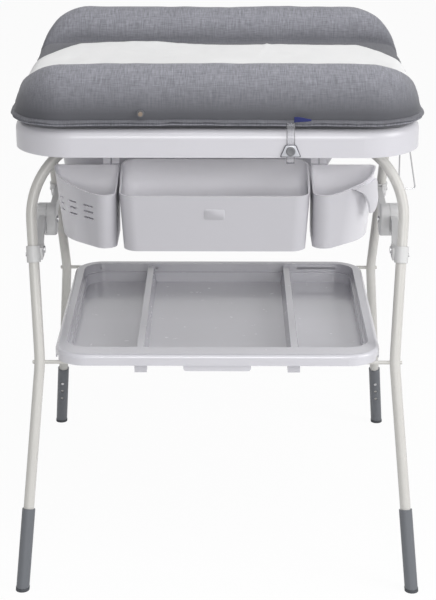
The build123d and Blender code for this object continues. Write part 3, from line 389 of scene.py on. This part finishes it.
class MatSettings(bpy.types.PropertyGroup):
    """Sizes and colours of the padded mat, its edge and the towel."""

    half_width: bpy.props.FloatProperty(
        name="Half width", description="Middle to the mat's end", default=0.376, unit="LENGTH")
    half_depth: bpy.props.FloatProperty(
        name="Half depth", description="Middle to the mat's long side", default=0.368, unit="LENGTH")
    drawn_in: bpy.props.FloatProperty(
        name="Drawn in", description="How far the long sides pull in between the corners", default=0.006,
        unit="LENGTH")
    end_length: bpy.props.FloatProperty(
        name="Rounded end", description="Length over which each end rounds down", default=0.098, unit="LENGTH")
    corner: bpy.props.FloatProperty(
        name="Corner", description="Radius of the corners in plan", default=0.095, unit="LENGTH")
    base: bpy.props.FloatProperty(
        name="Base", description="Height of the mat's flat underside", default=0.9054, unit="LENGTH")
    seam: bpy.props.FloatProperty(
        name="Seam", description="Height of the welded edge", default=0.922, unit="LENGTH")
    front_crest: bpy.props.FloatProperty(
        name="Front crest", description="Height of the front bolster", default=1.008, unit="LENGTH")
    rear_crest: bpy.props.FloatProperty(
        name="Rear crest", description="Height of the rear bolster", default=1.016, unit="LENGTH")
    valley: bpy.props.FloatProperty(
        name="Valley", description="Height of the lying surface at the bolsters' feet", default=0.955,
        unit="LENGTH")
    sag: bpy.props.FloatProperty(
        name="Sag", description="How much lower the valley is in its middle", default=0.007, unit="LENGTH")
    cover_dark: bpy.props.FloatVectorProperty(
        name="Dark thread", description="Darker thread of the cover", subtype="COLOR", size=4,
        default=(0.130, 0.132, 0.150, 1.0))
    cover_light: bpy.props.FloatVectorProperty(
        name="Light thread", description="Lighter thread of the cover", subtype="COLOR", size=4,
        default=(0.370, 0.372, 0.416, 1.0))
    towel_colour: bpy.props.FloatVectorProperty(
        name="Towel", description="Colour of the towel", subtype="COLOR", size=4,
        default=(0.86, 0.86, 0.862, 1.0))
    tag_colour: bpy.props.FloatVectorProperty(
        name="Tag", description="Colour of the blank side tag", subtype="COLOR", size=4,
        default=(0.013, 0.018, 0.105, 1.0))


class StandSettings(bpy.types.PropertyGroup):
    """Colours of the stand, the tub and the storage."""

    paint: bpy.props.FloatVectorProperty(
        name="Tube paint", description="Powder coat of the tubes", subtype="COLOR", size=4,
        default=(0.57, 0.56, 0.535, 1.0))
    joints: bpy.props.FloatVectorProperty(
        name="Joints", description="Moulded collars, arms and hubs", subtype="COLOR", size=4,
        default=(0.60, 0.60, 0.60, 1.0))
    sleeves: bpy.props.FloatVectorProperty(
        name="Sleeves", description="Foot sleeves", subtype="COLOR", size=4,
        default=(0.135, 0.143, 0.158, 1.0))
    tub: bpy.props.FloatVectorProperty(
        name="Tub", description="Bath tub", subtype="COLOR", size=4, default=(0.57, 0.563, 0.60, 1.0))
    boxes: bpy.props.FloatVectorProperty(
        name="Containers", description="Hung containers", subtype="COLOR", size=4,
        default=(0.48, 0.474, 0.505, 1.0))
    # Painted light: a pale colour for the containers' back walls and upward faces.
    box_painted_light: bpy.props.FloatVectorProperty(
        name="Container backs", description="Paler back walls and upward faces of the containers",
        subtype="COLOR", size=4,
        default=(0.93, 0.92, 0.955, 1.0))
    # Painted shade: a darker colour for the rear of the tray.
    tray_painted_shade: bpy.props.FloatVectorProperty(
        name="Tray rear", description="Darker rear of the tray", subtype="COLOR", size=4,
        default=(0.42, 0.415, 0.447, 1.0))
    tray: bpy.props.FloatVectorProperty(
        name="Tray", description="Lower tray", subtype="COLOR", size=4, default=(0.605, 0.60, 0.64, 1.0))


class StudioSettings(bpy.types.PropertyGroup):
    """Camera and light of the studio."""

    camera_place: bpy.props.FloatVectorProperty(
        name="Camera", description="Place of the camera", subtype="XYZ", unit="LENGTH",
        default=(0.0175, -3.357, 1.629))
    camera_pitch: bpy.props.FloatProperty(
        name="Pitch", description="How far the camera looks down", subtype="ANGLE", default=radians(19.3))
    camera_turn: bpy.props.FloatProperty(
        name="Turn", description="Turn of the camera about the vertical", subtype="ANGLE", default=radians(0.3))
    lens: bpy.props.FloatProperty(
        name="Lens", description="Focal length in millimetres", default=102.0)
    key_power: bpy.props.FloatProperty(
        name="Key light", description="Power of the light from the right", default=62.0, unit="POWER")
    front_power: bpy.props.FloatProperty(
        name="Front light", description="Power of the light by the camera", default=62.0, unit="POWER")
    top_power: bpy.props.FloatProperty(
        name="Top light", description="Power of the overhead light", default=40.0, unit="POWER")
    ambient: bpy.props.FloatProperty(
        name="Ambient", description="Strength of the even light from all sides", default=0.24)


class MatForm:
    """The mat's outer shape, from its settings."""

    crest_depth = 0.305
    valley_depth = 0.232
    base_inset = 0.014
    outer_bulge = 0.015
    inner_bulge = 0.015
    least_share = 0.02
    valley_fullness = 10
    last_station = 0.9985

    def __init__(self, settings):
        self.s = settings

    def share(self, x):
        """Height shares of the bolsters and of the fuller valley, and half depth of the section at x."""
        s = self.s
        start = s.half_width - s.end_length
        beyond = min(1.0, max(0.0, abs(x) - start) / s.end_length)
        corner = min(s.corner, max(0.0, abs(x) - (s.half_width - s.corner)))
        rounding = s.corner - sqrt(s.corner ** 2 - corner ** 2) if corner < s.corner else s.corner
        drawn = s.drawn_in * max(0.0, 1 - (abs(x) / start) ** 2)
        return sqrt(1 - beyond ** 2), sqrt(1 - beyond ** self.valley_fullness), s.half_depth - rounding - drawn

    def profile(self, x, side):
        """Key points of the section's front (-) or rear (+) half: edge, outer, top, inner, foot, middle."""
        s = self.s
        crest = s.front_crest if side < 0 else s.rear_crest
        share, valley_share, half_depth = self.share(x)
        share = max(share, self.least_share)
        valley_share = max(valley_share, self.least_share)
        wide = half_depth / s.half_depth
        edge = (half_depth, s.seam)
        top = (self.crest_depth * wide, s.seam + (crest - s.seam) * share)
        foot = (self.valley_depth * wide, s.seam + (s.valley - s.seam) * valley_share)
        out = self.outer_bulge * share
        into = self.inner_bulge * share
        outer = ((edge[0] + top[0]) / 2 + out, (edge[1] + top[1]) / 2 + out)
        inner = ((top[0] + foot[0]) / 2 - into, (top[1] + foot[1]) / 2 + into)
        middle = (0.0, s.seam + (s.valley - s.sag - s.seam) * valley_share)
        return edge, outer, top, inner, foot, middle, half_depth

    def height(self, x, y):
        """Height of the upper surface over a point, in the valley or on a bolster's slope."""
        edge, outer, top, inner, foot, middle, half_depth = self.profile(x, y)
        depth = abs(y)
        if depth <= foot[0]:
            return middle[1] + (foot[1] - middle[1]) * (depth / foot[0]) ** 2
        near = (top, inner, foot) if depth <= top[0] else (edge, outer, top)
        yc, zc, radius = circle_through(*near)
        return zc + sqrt(max(0.0, radius ** 2 - (depth - yc) ** 2))

    def section(self, x):
        """Closed ring of points of the section at x."""
        s = self.s
        edge, outer, top, inner, foot, middle, half_depth = self.profile(x, 1)
        front_outer, front_top, front_inner = [mirrored(p) for p in self.profile(x, -1)[1:4]]
        base = half_depth - self.base_inset
        rise = s.seam - s.base
        lower = [(base + self.base_inset * sin(pi / 2 * t / 4), s.base + rise * t / 4) for t in range(4)]
        ring = [(-base + 2 * base * t / 30, s.base) for t in range(30)]
        ring += lower
        ring += arc(edge, outer, top, 16)
        ring += arc(top, inner, foot, 16)
        ring += arc(foot, middle, mirrored(foot), 36)
        ring += arc(mirrored(foot), front_inner, front_top, 16)
        ring += arc(front_top, front_outer, mirrored(edge), 16)
        ring += [mirrored(p) for p in [edge] + lower[:0:-1]]
        return ring

    def stations(self):
        """Places along X, closer together in the rounded ends."""
        s = self.s
        start = s.half_width - s.end_length
        flat = [start * (2 * t / 60 - 1) for t in range(61)]
        end = [start + s.end_length * sin(pi / 2 * t / 14) * self.last_station for t in range(1, 15)]
        return [-x for x in reversed(end)] + flat + end


def ripple(x, y, z, size, seed=0.0):
    """Smooth seeded noise from -1 to 1."""
    return noise.noise(Vector((x / size + seed, y / size + 2.7 * seed, z / size - seed)))


class CHANGING_OT_mat(bpy.types.Operator):
    """Build the padded mat: crowned bolsters, drawn-in sides, puckers along the seam"""

    bl_idname = "changing.mat"
    bl_label = "Padded mat"

    tuck_from = 0.33
    tuck_length = 0.046
    crease_place = 0.318
    # Painted shade on the bolsters: share and the two heights between which the cover darkens downwards.
    shading = (0.97, 1.005, 0.935)

    def execute(self, context):
        s = context.scene.changing_mat
        form = MatForm(s)
        places = form.stations()
        vertices = []
        for x in places:
            for y, z in form.section(x):
                tuck = max(0.0, (s.seam - z) / (s.seam - s.base))
                near_end = min(1.0, max(0.0, (abs(x) - self.tuck_from) / self.tuck_length))
                vertices.append((x - (1 if x > 0 else -1) * form.base_inset * tuck * near_end, y, z))
        count = len(vertices) // len(places)
        faces = []
        for i in range(len(places) - 1):
            for j in range(count):
                k = (j + 1) % count
                faces.append((i * count + j, i * count + k, (i + 1) * count + k, (i + 1) * count + j))
        faces.append(tuple(range(count - 1, -1, -1)))
        faces.append(tuple(range((len(places) - 1) * count, len(places) * count)))
        # The cover gets painted shade on the lower sides of its bolsters.
        cover = melange_finish("mat_cover", s.cover_dark, s.cover_light, COVER_WEAVE, self.shading)
        piece = new_piece("mat_cover", vertices, faces, cover, "mat", "mat_cover", ("mat_cushion",))
        self.relax(piece, s)
        return {"FINISHED"}

    def relax(self, piece, s):
        """Soft lumps, seam puckers and end creases, kept off the flat underside."""
        mesh = piece.data
        mesh.update()
        normals = [v.normal.copy() for v in mesh.vertices]
        for vertex, normal in zip(mesh.vertices, normals):
            x, y, z = vertex.co
            above = min(1.0, max(0.0, (z - s.seam) / 0.02))
            near_seam = max(0.0, 1 - abs(z - s.seam - 0.012) / 0.022)
            around = atan2(y, x) * 0.37
            lump = 0.0022 * ripple(x, y, z, 0.085, 1.3) + 0.0012 * ripple(x, y, z, 0.035, 4.1)
            pucker = 0.0014 * near_seam * ripple(x, y, around, 0.016, 7.7)
            near_end = max(0.0, 1 - abs(abs(x) - self.crease_place) / 0.03)
            raised = max(0.0, (z - s.valley) / 0.06)
            crease = -0.0022 * near_end * raised * max(0.0, ripple(x * 3.0, y, z, 0.06, 2.2))
            vertex.co += normal * (above * lump + pucker + crease)
        mesh.update()


class CHANGING_OT_mat_edge(bpy.types.Operator):
    """Build the wavy welded edge round the mat"""

    bl_idname = "changing.mat_edge"
    bl_label = "Mat edge"

    # Reach past the seam, rise above it and share of the waves
    section = (
        (-0.008, 0.0036, 0.0), (0.000, 0.0020, 0.4), (0.0050, -0.0004, 0.9), (0.0064, -0.0018, 1.0),
        (0.0056, -0.0030, 1.0), (-0.001, -0.0034, 0.6), (-0.001, -0.0056, 0.5), (0.0034, -0.0058, 0.6),
        (0.0030, -0.0082, 0.5), (-0.008, -0.0070, 0.0),
    )
    probe = 0.001
    # Painted shade: share and the two heights between which the edge darkens towards its upper lip
    shading = (0.6, 0.9155, 0.9195)

    def outline(self, s, out):
        """Points round the mat at its seam, moved out."""
        points = []
        corner = s.corner + out
        width = s.half_width + out - corner
        depth = s.half_depth + out - corner
        for quarter, (sx, sy) in enumerate(((1, 1), (-1, 1), (-1, -1), (1, -1))):
            for step in range(24):
                angle = pi / 2 * (quarter + step / 24)
                points.append((sx * width + corner * cos(angle), sy * depth + corner * sin(angle)))
            sides = 60
            ex, ey = ((0, 1), (-1, 0), (0, -1), (1, 0))[quarter]
            for step in range(sides):
                t = step / sides
                if ex == 0:
                    points.append((sx * width * (1 - 2 * t), ey * (depth + corner)))
                else:
                    points.append((ex * (width + corner), sy * depth * (1 - 2 * t)))
        return points

    def execute(self, context):
        s = context.scene.changing_mat
        start = s.half_width - s.end_length
        nominal = self.outline(s, 0.0)
        rim = self.outline(s, self.probe)
        count = len(self.section)
        vertices = []
        for (ax, ay), (bx, by) in zip(nominal, rim):
            out = Vector((bx - ax, by - ay)) / self.probe
            pull = s.drawn_in * max(0.0, 1 - (ax / start) ** 2) if abs(ay) > 0.3 else 0.0
            wave = 0.0022 * ripple(ax, ay, 0.0, 0.030, 3.0) + 0.0014 * ripple(ax, ay, 0.0, 0.09, 5.0)
            lobe = 0.0016 * ripple(ax, ay, 0.0, 0.05, 9.0)
            for reach, rise, share in self.section:
                shift = reach - pull + share * lobe
                vertices.append((ax + out.x * shift, ay + out.y * shift, s.seam + rise + share * wave))
        rows = len(nominal)
        faces = []
        for i in range(rows):
            n = (i + 1) % rows
            for j in range(count):
                k = (j + 1) % count
                faces.append((i * count + j, n * count + j, n * count + k, i * count + k))
        # The edge is a slightly darker copy of the cover cloth: painted shade along the seam.
        dark = shade_of(s.cover_dark, 0.9)
        light = shade_of(s.cover_light, 0.95)
        edge = melange_finish("mat_edge", dark, light, COVER_WEAVE, self.shading)
        new_piece("mat_edge", vertices, faces, edge, "mat", "mat_edge", ("mat_seam",))
        return {"FINISHED"}


class CHANGING_OT_towel(bpy.types.Operator):
    """Lay the towel in the valley and over both ends"""

    bl_idname = "changing.towel"
    bl_label = "Towel"

    front = -0.190
    rear = 0.182
    half_length = 0.3785
    thickness = 0.003
    gap = 0.0014
    cut_from = 0.288

    def rear_edge(self, x):
        """Rear edge of the cloth, slightly wavy, higher at the left, cut back at the ends."""
        ends = max(0.0, (abs(x) - self.cut_from) / (self.half_length - self.cut_from))
        wave = 0.004 * ripple(x, 0.0, 0.0, 0.12, 1.0)
        lift = 0.030 * exp(-((x + 0.15) / 0.075) ** 2) + 0.012 * exp(-((x + 0.26) / 0.06) ** 2)
        return self.rear + wave + lift - 0.155 * ends ** 1.25

    def execute(self, context):
        s = context.scene.changing_mat
        form = MatForm(s)
        columns, rows = 150, 84
        top = []
        for i in range(columns + 1):
            x = self.half_length * (2 * i / columns - 1)
            rear = self.rear_edge(x)
            for j in range(rows + 1):
                y = self.front + (rear - self.front) * j / rows
                edge = min(1.0, 8 * min(j, rows - j) / rows)
                fold = 0.0016 * abs(ripple(x, y * 0.6, 0.0, 0.09, 6.0))
                fold += 0.0012 * abs(ripple(x, y, 0.0, 0.03, 8.0))
                off_crease = abs(x - 0.085 - 0.2 * (y - 0.1))
                crease = 0.0022 * max(0.0, 1 - off_crease / 0.006) * max(0.0, (y - 0.02) / 0.18)
                lift = self.gap + self.thickness + fold + crease - 0.0006 * (1 - edge)
                top.append(Vector((x, y, form.height(x, y) + lift)))
        vertices = [tuple(v) for v in top] + [(v.x, v.y, v.z - self.thickness) for v in top]
        cloth = towel_finish("towel_cloth", s.towel_colour)
        piece = new_piece("towel_cloth", vertices, cloth_faces(columns, rows), cloth, "mat", "towel_cloth",
                          ("towel",))
        return {"FINISHED"}


def rounded_plate(outline, front, thickness, radius, steps=5):
    """A plate facing the front: its outline's corners rounded, its front edge softened."""
    ring = []
    count = len(outline)
    for i, corner in enumerate(outline):
        before = Vector(outline[i - 1])
        here = Vector(corner)
        after = Vector(outline[(i + 1) % count])
        start = here + (before - here).normalized() * radius
        end = here + (after - here).normalized() * radius
        for step in range(steps + 1):
            t = step / steps
            ring.append(start * (1 - t) ** 2 + here * 2 * t * (1 - t) + end * t ** 2)
    middle = sum(ring, Vector((0, 0))) / len(ring)
    soft = min(thickness * 0.45, 0.0006)
    layers = [(0.0, front), (0.0, front - thickness + soft), (soft, front - thickness)]
    vertices = []
    for inset, y in layers:
        for point in ring:
            inward = (middle - point).normalized() * inset
            vertices.append((point.x + inward.x, y, point.y + inward.y))
    n = len(ring)
    faces = []
    for layer in range(len(layers) - 1):
        for i in range(n):
            j = (i + 1) % n
            faces.append((layer * n + i, layer * n + j, (layer + 1) * n + j, (layer + 1) * n + i))
    faces.append(tuple(range(n - 1, -1, -1)))
    faces.append(tuple(range(2 * n, 3 * n)))
    return vertices, faces


def lathe(profile, centre, steps=48):
    """Turn a profile of (radius, forward) points round an axis to the front."""
    vertices = []
    for radius, forward in profile:
        for step in range(steps):
            angle = 2 * pi * step / steps
            x = centre[0] + radius * cos(angle)
            z = centre[2] + radius * sin(angle)
            vertices.append((x, centre[1] - forward, z))
    faces = []
    for row in range(len(profile) - 1):
        for i in range(steps):
            j = (i + 1) % steps
            faces.append((row * steps + i, row * steps + j, (row + 1) * steps + j, (row + 1) * steps + i))
    faces.append(tuple(range(steps - 1, -1, -1)))
    last = (len(profile) - 1) * steps
    faces.append(tuple(range(last, last + steps)))
    return vertices, faces


class CHANGING_OT_strap(bpy.types.Operator):
    """Build the clear strap with its tab and press stud, and the blank side tag"""

    bl_idname = "changing.strap"
    bl_label = "Strap and tag"

    bulge_from = 0.88
    hem_height = 0.0022
    tab_top_half_width = 0.010
    # Radius and distance forward
    stud_profile = (
        (0.0086, 0.0), (0.0086, 0.0014), (0.0080, 0.0024), (0.0068, 0.0029), (0.0056, 0.0029),
        (0.0050, 0.0023), (0.0030, 0.0021), (0.0012, 0.0020),
    )

    def execute(self, context):
        s = context.scene.changing_mat
        self.strap()
        self.tab()
        self.stud()
        self.tag(s)
        return {"FINISHED"}

    def strap(self):
        """The film, bulging out over the mat's edge, and the dark hem at its lower end."""
        low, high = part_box("mat_strap")
        rows = 24
        vertices = []
        for row in range(rows + 1):
            z = low[2] + (high[2] - low[2]) * row / rows
            up = min(1.0, max(0.0, (z - self.bulge_from) / (high[2] - self.bulge_from)))
            bulge = 0.0012 * max(0.0, sin(pi * up))
            for x, y in ((low[0], low[1]), (high[0], low[1]), (high[0], high[1]), (low[0], high[1])):
                vertices.append((x, y - bulge, z))
        faces = [(0, 1, 2, 3), tuple(rows * 4 + k for k in (3, 2, 1, 0))]
        for row in range(rows):
            for k in range(4):
                n = (k + 1) % 4
                faces.append((row * 4 + k, row * 4 + n, row * 4 + 4 + n, row * 4 + 4 + k))
        film = film_finish("clear_strap", (0.66, 0.66, 0.70), 0.14,
                           ((low[0] + high[0]) / 2, (high[0] - low[0]) / 2))
        new_piece("strap_film", vertices, faces, film, "mat", "clear_strap", ("mat_strap",))
        hem = film_finish("strap_hem", (0.10, 0.10, 0.12), 0.9)
        top = low[2] + self.hem_height
        hem_outline = [(low[0], low[2]), (high[0], low[2]), (high[0], top), (low[0], top)]
        new_piece("strap_hem", *rounded_plate(hem_outline, low[1], 0.0006, 0.0006), hem, "mat", "clear_strap")

    def tab(self):
        """The tab under the stud: a dark border and a paler face on it."""
        low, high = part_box("strap_tab")
        middle = (low[0] + high[0]) / 2
        half = self.tab_top_half_width
        outline = [(low[0], low[2]), (high[0], low[2]), (middle + half, high[2]), (middle - half, high[2])]
        inset = [(low[0] + 0.0022, low[2] + 0.0014), (high[0] - 0.0022, low[2] + 0.0014),
                 (middle + 0.0085, high[2] - 0.0014), (middle - 0.0085, high[2] - 0.0014)]
        border = film_finish("tab_border", (0.09, 0.09, 0.11), 1.0)
        new_piece("strap_tab_border", *rounded_plate(outline, high[1], 0.0011, 0.003), border, "mat",
                  "strap_tab", ("strap_tab",))
        face = film_finish("tab_face", (0.55, 0.56, 0.60), 1.0)
        new_piece("strap_tab_face", *rounded_plate(inset, high[1] - 0.0009, 0.0007, 0.0025), face, "mat",
                  "strap_tab")

    def stud(self):
        """The press stud, turned from its profile."""
        low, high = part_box("strap_snap")
        centre = ((low[0] + high[0]) / 2, high[1], (low[2] + high[2]) / 2)
        finish = moulded_finish("snap_plastic", (0.15, 0.153, 0.163, 1.0), 0.42, 0.00005, 0.0)
        new_piece("press_stud", *lathe(self.stud_profile, centre), finish, "mat", "snap_plastic",
                  ("strap_snap",))

    def tag(self, s):
        """The blank tag: a bowed cloth that narrows towards its right end."""
        low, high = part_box("side_tag")
        columns, rows = 20, 6
        middle = (low[2] + high[2]) / 2
        half = (high[2] - low[2]) / 2
        vertices = []
        for side in (0.0, 0.0010):
            for i in range(columns + 1):
                t = i / columns
                x = low[0] + (high[0] - low[0]) * t
                reach = half * (1 - 0.72 * t ** 1.6)
                bow = 0.0012 * sin(pi * t)
                for j in range(rows + 1):
                    z = middle + 0.0006 * sin(5 * t) + reach * (2 * j / rows - 1)
                    vertices.append((x, low[1] - bow + side, z))
        woven = melange_finish("tag_cloth", shade_of(s.tag_colour, 0.8), shade_of(s.tag_colour, 1.4), TAG_WEAVE)
        piece = new_piece("side_tag_cloth", vertices, cloth_faces(columns, rows), woven, "mat", "tag_cloth",
                          ("side_tag",))


class CHANGING_OT_stand(bpy.types.Operator):
    """Finish the tubes, rods, knees and feet"""

    bl_idname = "changing.stand"
    bl_label = "Stand finishes"

    def execute(self, context):
        s = context.scene.changing_stand
        paint = painted_finish("tube_paint", s.paint)
        joints = moulded_finish("joint_plastic", s.joints, 0.42, 0.00006, 0.05)
        sleeves = moulded_finish("sleeve_plastic", s.sleeves, 0.46, 0.00008, 0.0)
        rubber = rubber_finish("foot_rubber", (0.055, 0.058, 0.065, 1.0))
        steel = steel_finish("drawn_steel", (0.55, 0.55, 0.56, 1.0), (0.05, 1.0, 1.0), 0.28)
        dress(paint, "front_leg_tube", "rear_leg_tube", "front_tray_rod", "rear_tray_rod")
        for end in ("front", "rear"):
            dress(steel, f"{end}_pivot_pins", f"{end}_collar_rivets")
            for side in ("left", "right"):
                dress(joints, f"{end}_collar_{side}", f"{end}_arm_{side}")
                dress(sleeves, f"foot_sleeve_{end}_{side}")
                dress(rubber, f"foot_pad_{end}_{side}")
                dress(steel, f"snap_clip_{end}_{side}")
        dress(joints, "hub_button_left", "hub_button_right")
        dress(steel, "hub_pins")
        return {"FINISHED"}


class CHANGING_OT_tub(bpy.types.Operator):
    """Finish the tub, its drain, wire hook and the mat's valve"""

    bl_idname = "changing.tub"
    bl_label = "Tub finishes"

    def execute(self, context):
        s = context.scene.changing_stand
        dress(moulded_finish("tub_plastic", s.tub, 0.30, 0.00004, 0.15), "tub", "hook_bracket")
        dress(moulded_finish("drain_plastic", (0.28, 0.28, 0.30, 1.0), 0.45, 0.00008, 0.0),
              "drain_outlet", "drain_plug")
        dress(steel_finish("hook_wire", (0.62, 0.62, 0.63, 1.0), (1.0, 1.0, 0.05), 0.16), "wire_hook")
        dress(moulded_finish("valve_plastic", (0.11, 0.112, 0.122, 1.0), 0.30, 0.00004, 0.2), "inflation_valve")
        dress(moulded_finish("valve_cap", (0.22, 0.17, 0.13, 1.0), 0.35, 0.00004, 0.1), "valve_cap")
        return {"FINISHED"}


class CHANGING_OT_storage(bpy.types.Operator):
    """Finish the hung containers and the tray, with the bare plate on the centre box"""

    bl_idname = "changing.storage"
    bl_label = "Storage finishes"

    # Depths between which the painted light of the container backs and the painted shade of the tray's rear
    # come in, and the plate's outline, front and thickness
    box_painted_light_depths = (-0.31, -0.21)
    tray_painted_shade_depths = (-0.02, 0.25)
    plate = ((-0.024, 0.7325), (0.014, 0.7325), (0.014, 0.7515), (-0.024, 0.7515))
    plate_front = -0.3474
    plate_thickness = 0.0010

    def execute(self, context):
        s = context.scene.changing_stand
        # The containers' back walls and upward faces get painted light.
        boxes = moulded_finish("box_plastic", s.boxes, 0.44, 0.00012, 0.0, (s.box_painted_light, *self.box_painted_light_depths),
                               s.box_painted_light)
        # The rear of the tray gets painted shade.
        tray = moulded_finish("tray_plastic", s.tray, 0.20, 0.00003, 0.35, (s.tray_painted_shade, *self.tray_painted_shade_depths))
        dress(boxes, "centre_box", "left_basket", "right_jug")
        dress(tray, "tray", "tray_clip_left", "tray_clip_right", "tray_lip")
        plate = rounded_plate(self.plate, self.plate_front, self.plate_thickness, 0.004)
        new_piece("box_plate", *plate, boxes, "centre_box", "box_plastic")
        return {"FINISHED"}


class CHANGING_OT_studio(bpy.types.Operator):
    """Set the camera, a pale floor and soft light"""

    bl_idname = "changing.studio"
    bl_label = "Studio"

    floor_radius = 14
    floor_corners = 64
    floor_height = -0.0005
    floor_glow = 0.95

    def execute(self, context):
        s = context.scene.changing_studio
        scene = context.scene
        camera_data = bpy.data.cameras.new("studio_camera")
        camera_data.lens = s.lens
        camera_data.sensor_width = 36.0
        camera = bpy.data.objects.new("studio_camera", camera_data)
        camera.location = s.camera_place
        camera.rotation_euler = (pi / 2 - s.camera_pitch, 0.0, s.camera_turn)
        scene.collection.objects.link(camera)
        scene.camera = camera
        self.floor(scene)
        self.world(scene, s)
        self.lamp(scene, "key_light", (3.0, -1.5, 2.1), (0.0, 0.0, 0.7), 1.8, s.key_power)
        self.lamp(scene, "front_light", (0.1, -4.1, 2.05), (0.0, 0.0, 0.7), 1.5, s.front_power)
        self.lamp(scene, "overhead_light", (0.2, -0.5, 3.2), (0.0, 0.0, 0.8), 3.0, s.top_power)
        scene.view_settings.view_transform = "Standard"
        return {"FINISHED"}

    def floor(self, scene):
        """A round floor, nearly white where it is seen or mirrored, that keeps a faint shadow."""
        mesh = bpy.data.meshes.new("studio_floor")
        count = self.floor_corners
        radius = self.floor_radius
        turns = [2 * pi * i / count for i in range(count)]
        rim = [(radius * cos(turn), radius * sin(turn), self.floor_height) for turn in turns]
        mesh.from_pydata(rim, [], [tuple(range(count))])
        floor = bpy.data.objects.new("studio_floor", mesh)
        scene.collection.objects.link(floor)
        finish = Finish("studio_floor")
        finish.surface(Base_Color=(0.93, 0.93, 0.93, 1.0), Roughness=0.9, Specular_IOR_Level=0.1)
        seen = finish.seen_directly()
        glow = finish.node("ShaderNodeEmission", None, {"Color": (1.0, 1.0, 1.0, 1.0), "Strength": 1.0})
        shader = Shade(finish, finish.shader.outputs[0])
        mixed = finish.node("ShaderNodeMixShader", None, {0: self.floor_glow * seen, 1: shader, 2: glow})
        output = finish.tree.nodes["Material Output"]
        finish.feed(output.inputs["Surface"], mixed)
        mesh.materials.append(finish.material)

    def world(self, scene, s):
        """White where it is seen or mirrored, a weaker even light elsewhere."""
        world = bpy.data.worlds.new("studio_world")
        world.use_nodes = True
        scene.world = world
        sky = NodeMaker(world.node_tree)
        seen = sky.seen_directly()
        white = (1.0, 1.0, 1.0, 1.0)
        even = sky.node("ShaderNodeBackground", None, {"Color": white, "Strength": s.ambient})
        bright = sky.node("ShaderNodeBackground", None, {"Color": white, "Strength": 1.0})
        mixed = sky.node("ShaderNodeMixShader", None, {0: seen, 1: even, 2: bright})
        sky.feed(world.node_tree.nodes["World Output"].inputs["Surface"], mixed)

    def lamp(self, scene, name, place, aim, size, power):
        """A square soft light, turned to what it lights."""
        data = bpy.data.lights.new(name, "AREA")
        data.shape = "SQUARE"
        data.size = size
        data.energy = power
        lamp = bpy.data.objects.new(name, data)
        lamp.location = place
        lamp.rotation_euler = (Vector(aim) - Vector(place)).to_track_quat("-Z", "Y").to_euler()
        scene.collection.objects.link(lamp)


class CHANGING_PT_panel(bpy.types.Panel):
    """Lists the pieces and finishes that can be made"""

    bl_idname = "CHANGING_PT_panel"
    bl_label = "Changing table"
    bl_space_type = "VIEW_3D"
    bl_region_type = "UI"
    bl_category = "Changing table"

    def draw(self, context):
        for operator in OPERATORS:
            self.layout.operator(operator.bl_idname)


OPERATORS = (
    CHANGING_OT_studio,
    CHANGING_OT_mat,
    CHANGING_OT_mat_edge,
    CHANGING_OT_towel,
    CHANGING_OT_strap,
    CHANGING_OT_stand,
    CHANGING_OT_tub,
    CHANGING_OT_storage,
)
SETTINGS = {
    "changing_mat": MatSettings,
    "changing_stand": StandSettings,
    "changing_studio": StudioSettings,
}


def register():
    for name, group in SETTINGS.items():
        bpy.utils.register_class(group)
        setattr(bpy.types.Scene, name, bpy.props.PointerProperty(type=group))
    for cls in (*OPERATORS, CHANGING_PT_panel):
        bpy.utils.register_class(cls)


def unregister():
    for cls in reversed((*OPERATORS, CHANGING_PT_panel)):
        bpy.utils.unregister_class(cls)
    for name, group in SETTINGS.items():
        delattr(bpy.types.Scene, name)
        bpy.utils.unregister_class(group)


def main():
    register()
    bpy.ops.changing.studio()
    bpy.ops.changing.mat()
    bpy.ops.changing.mat_edge()
    bpy.ops.changing.towel()
    bpy.ops.changing.strap()
    bpy.ops.changing.stand()
    bpy.ops.changing.tub()
    bpy.ops.changing.storage()


if __name__ == "__main__":
    main()
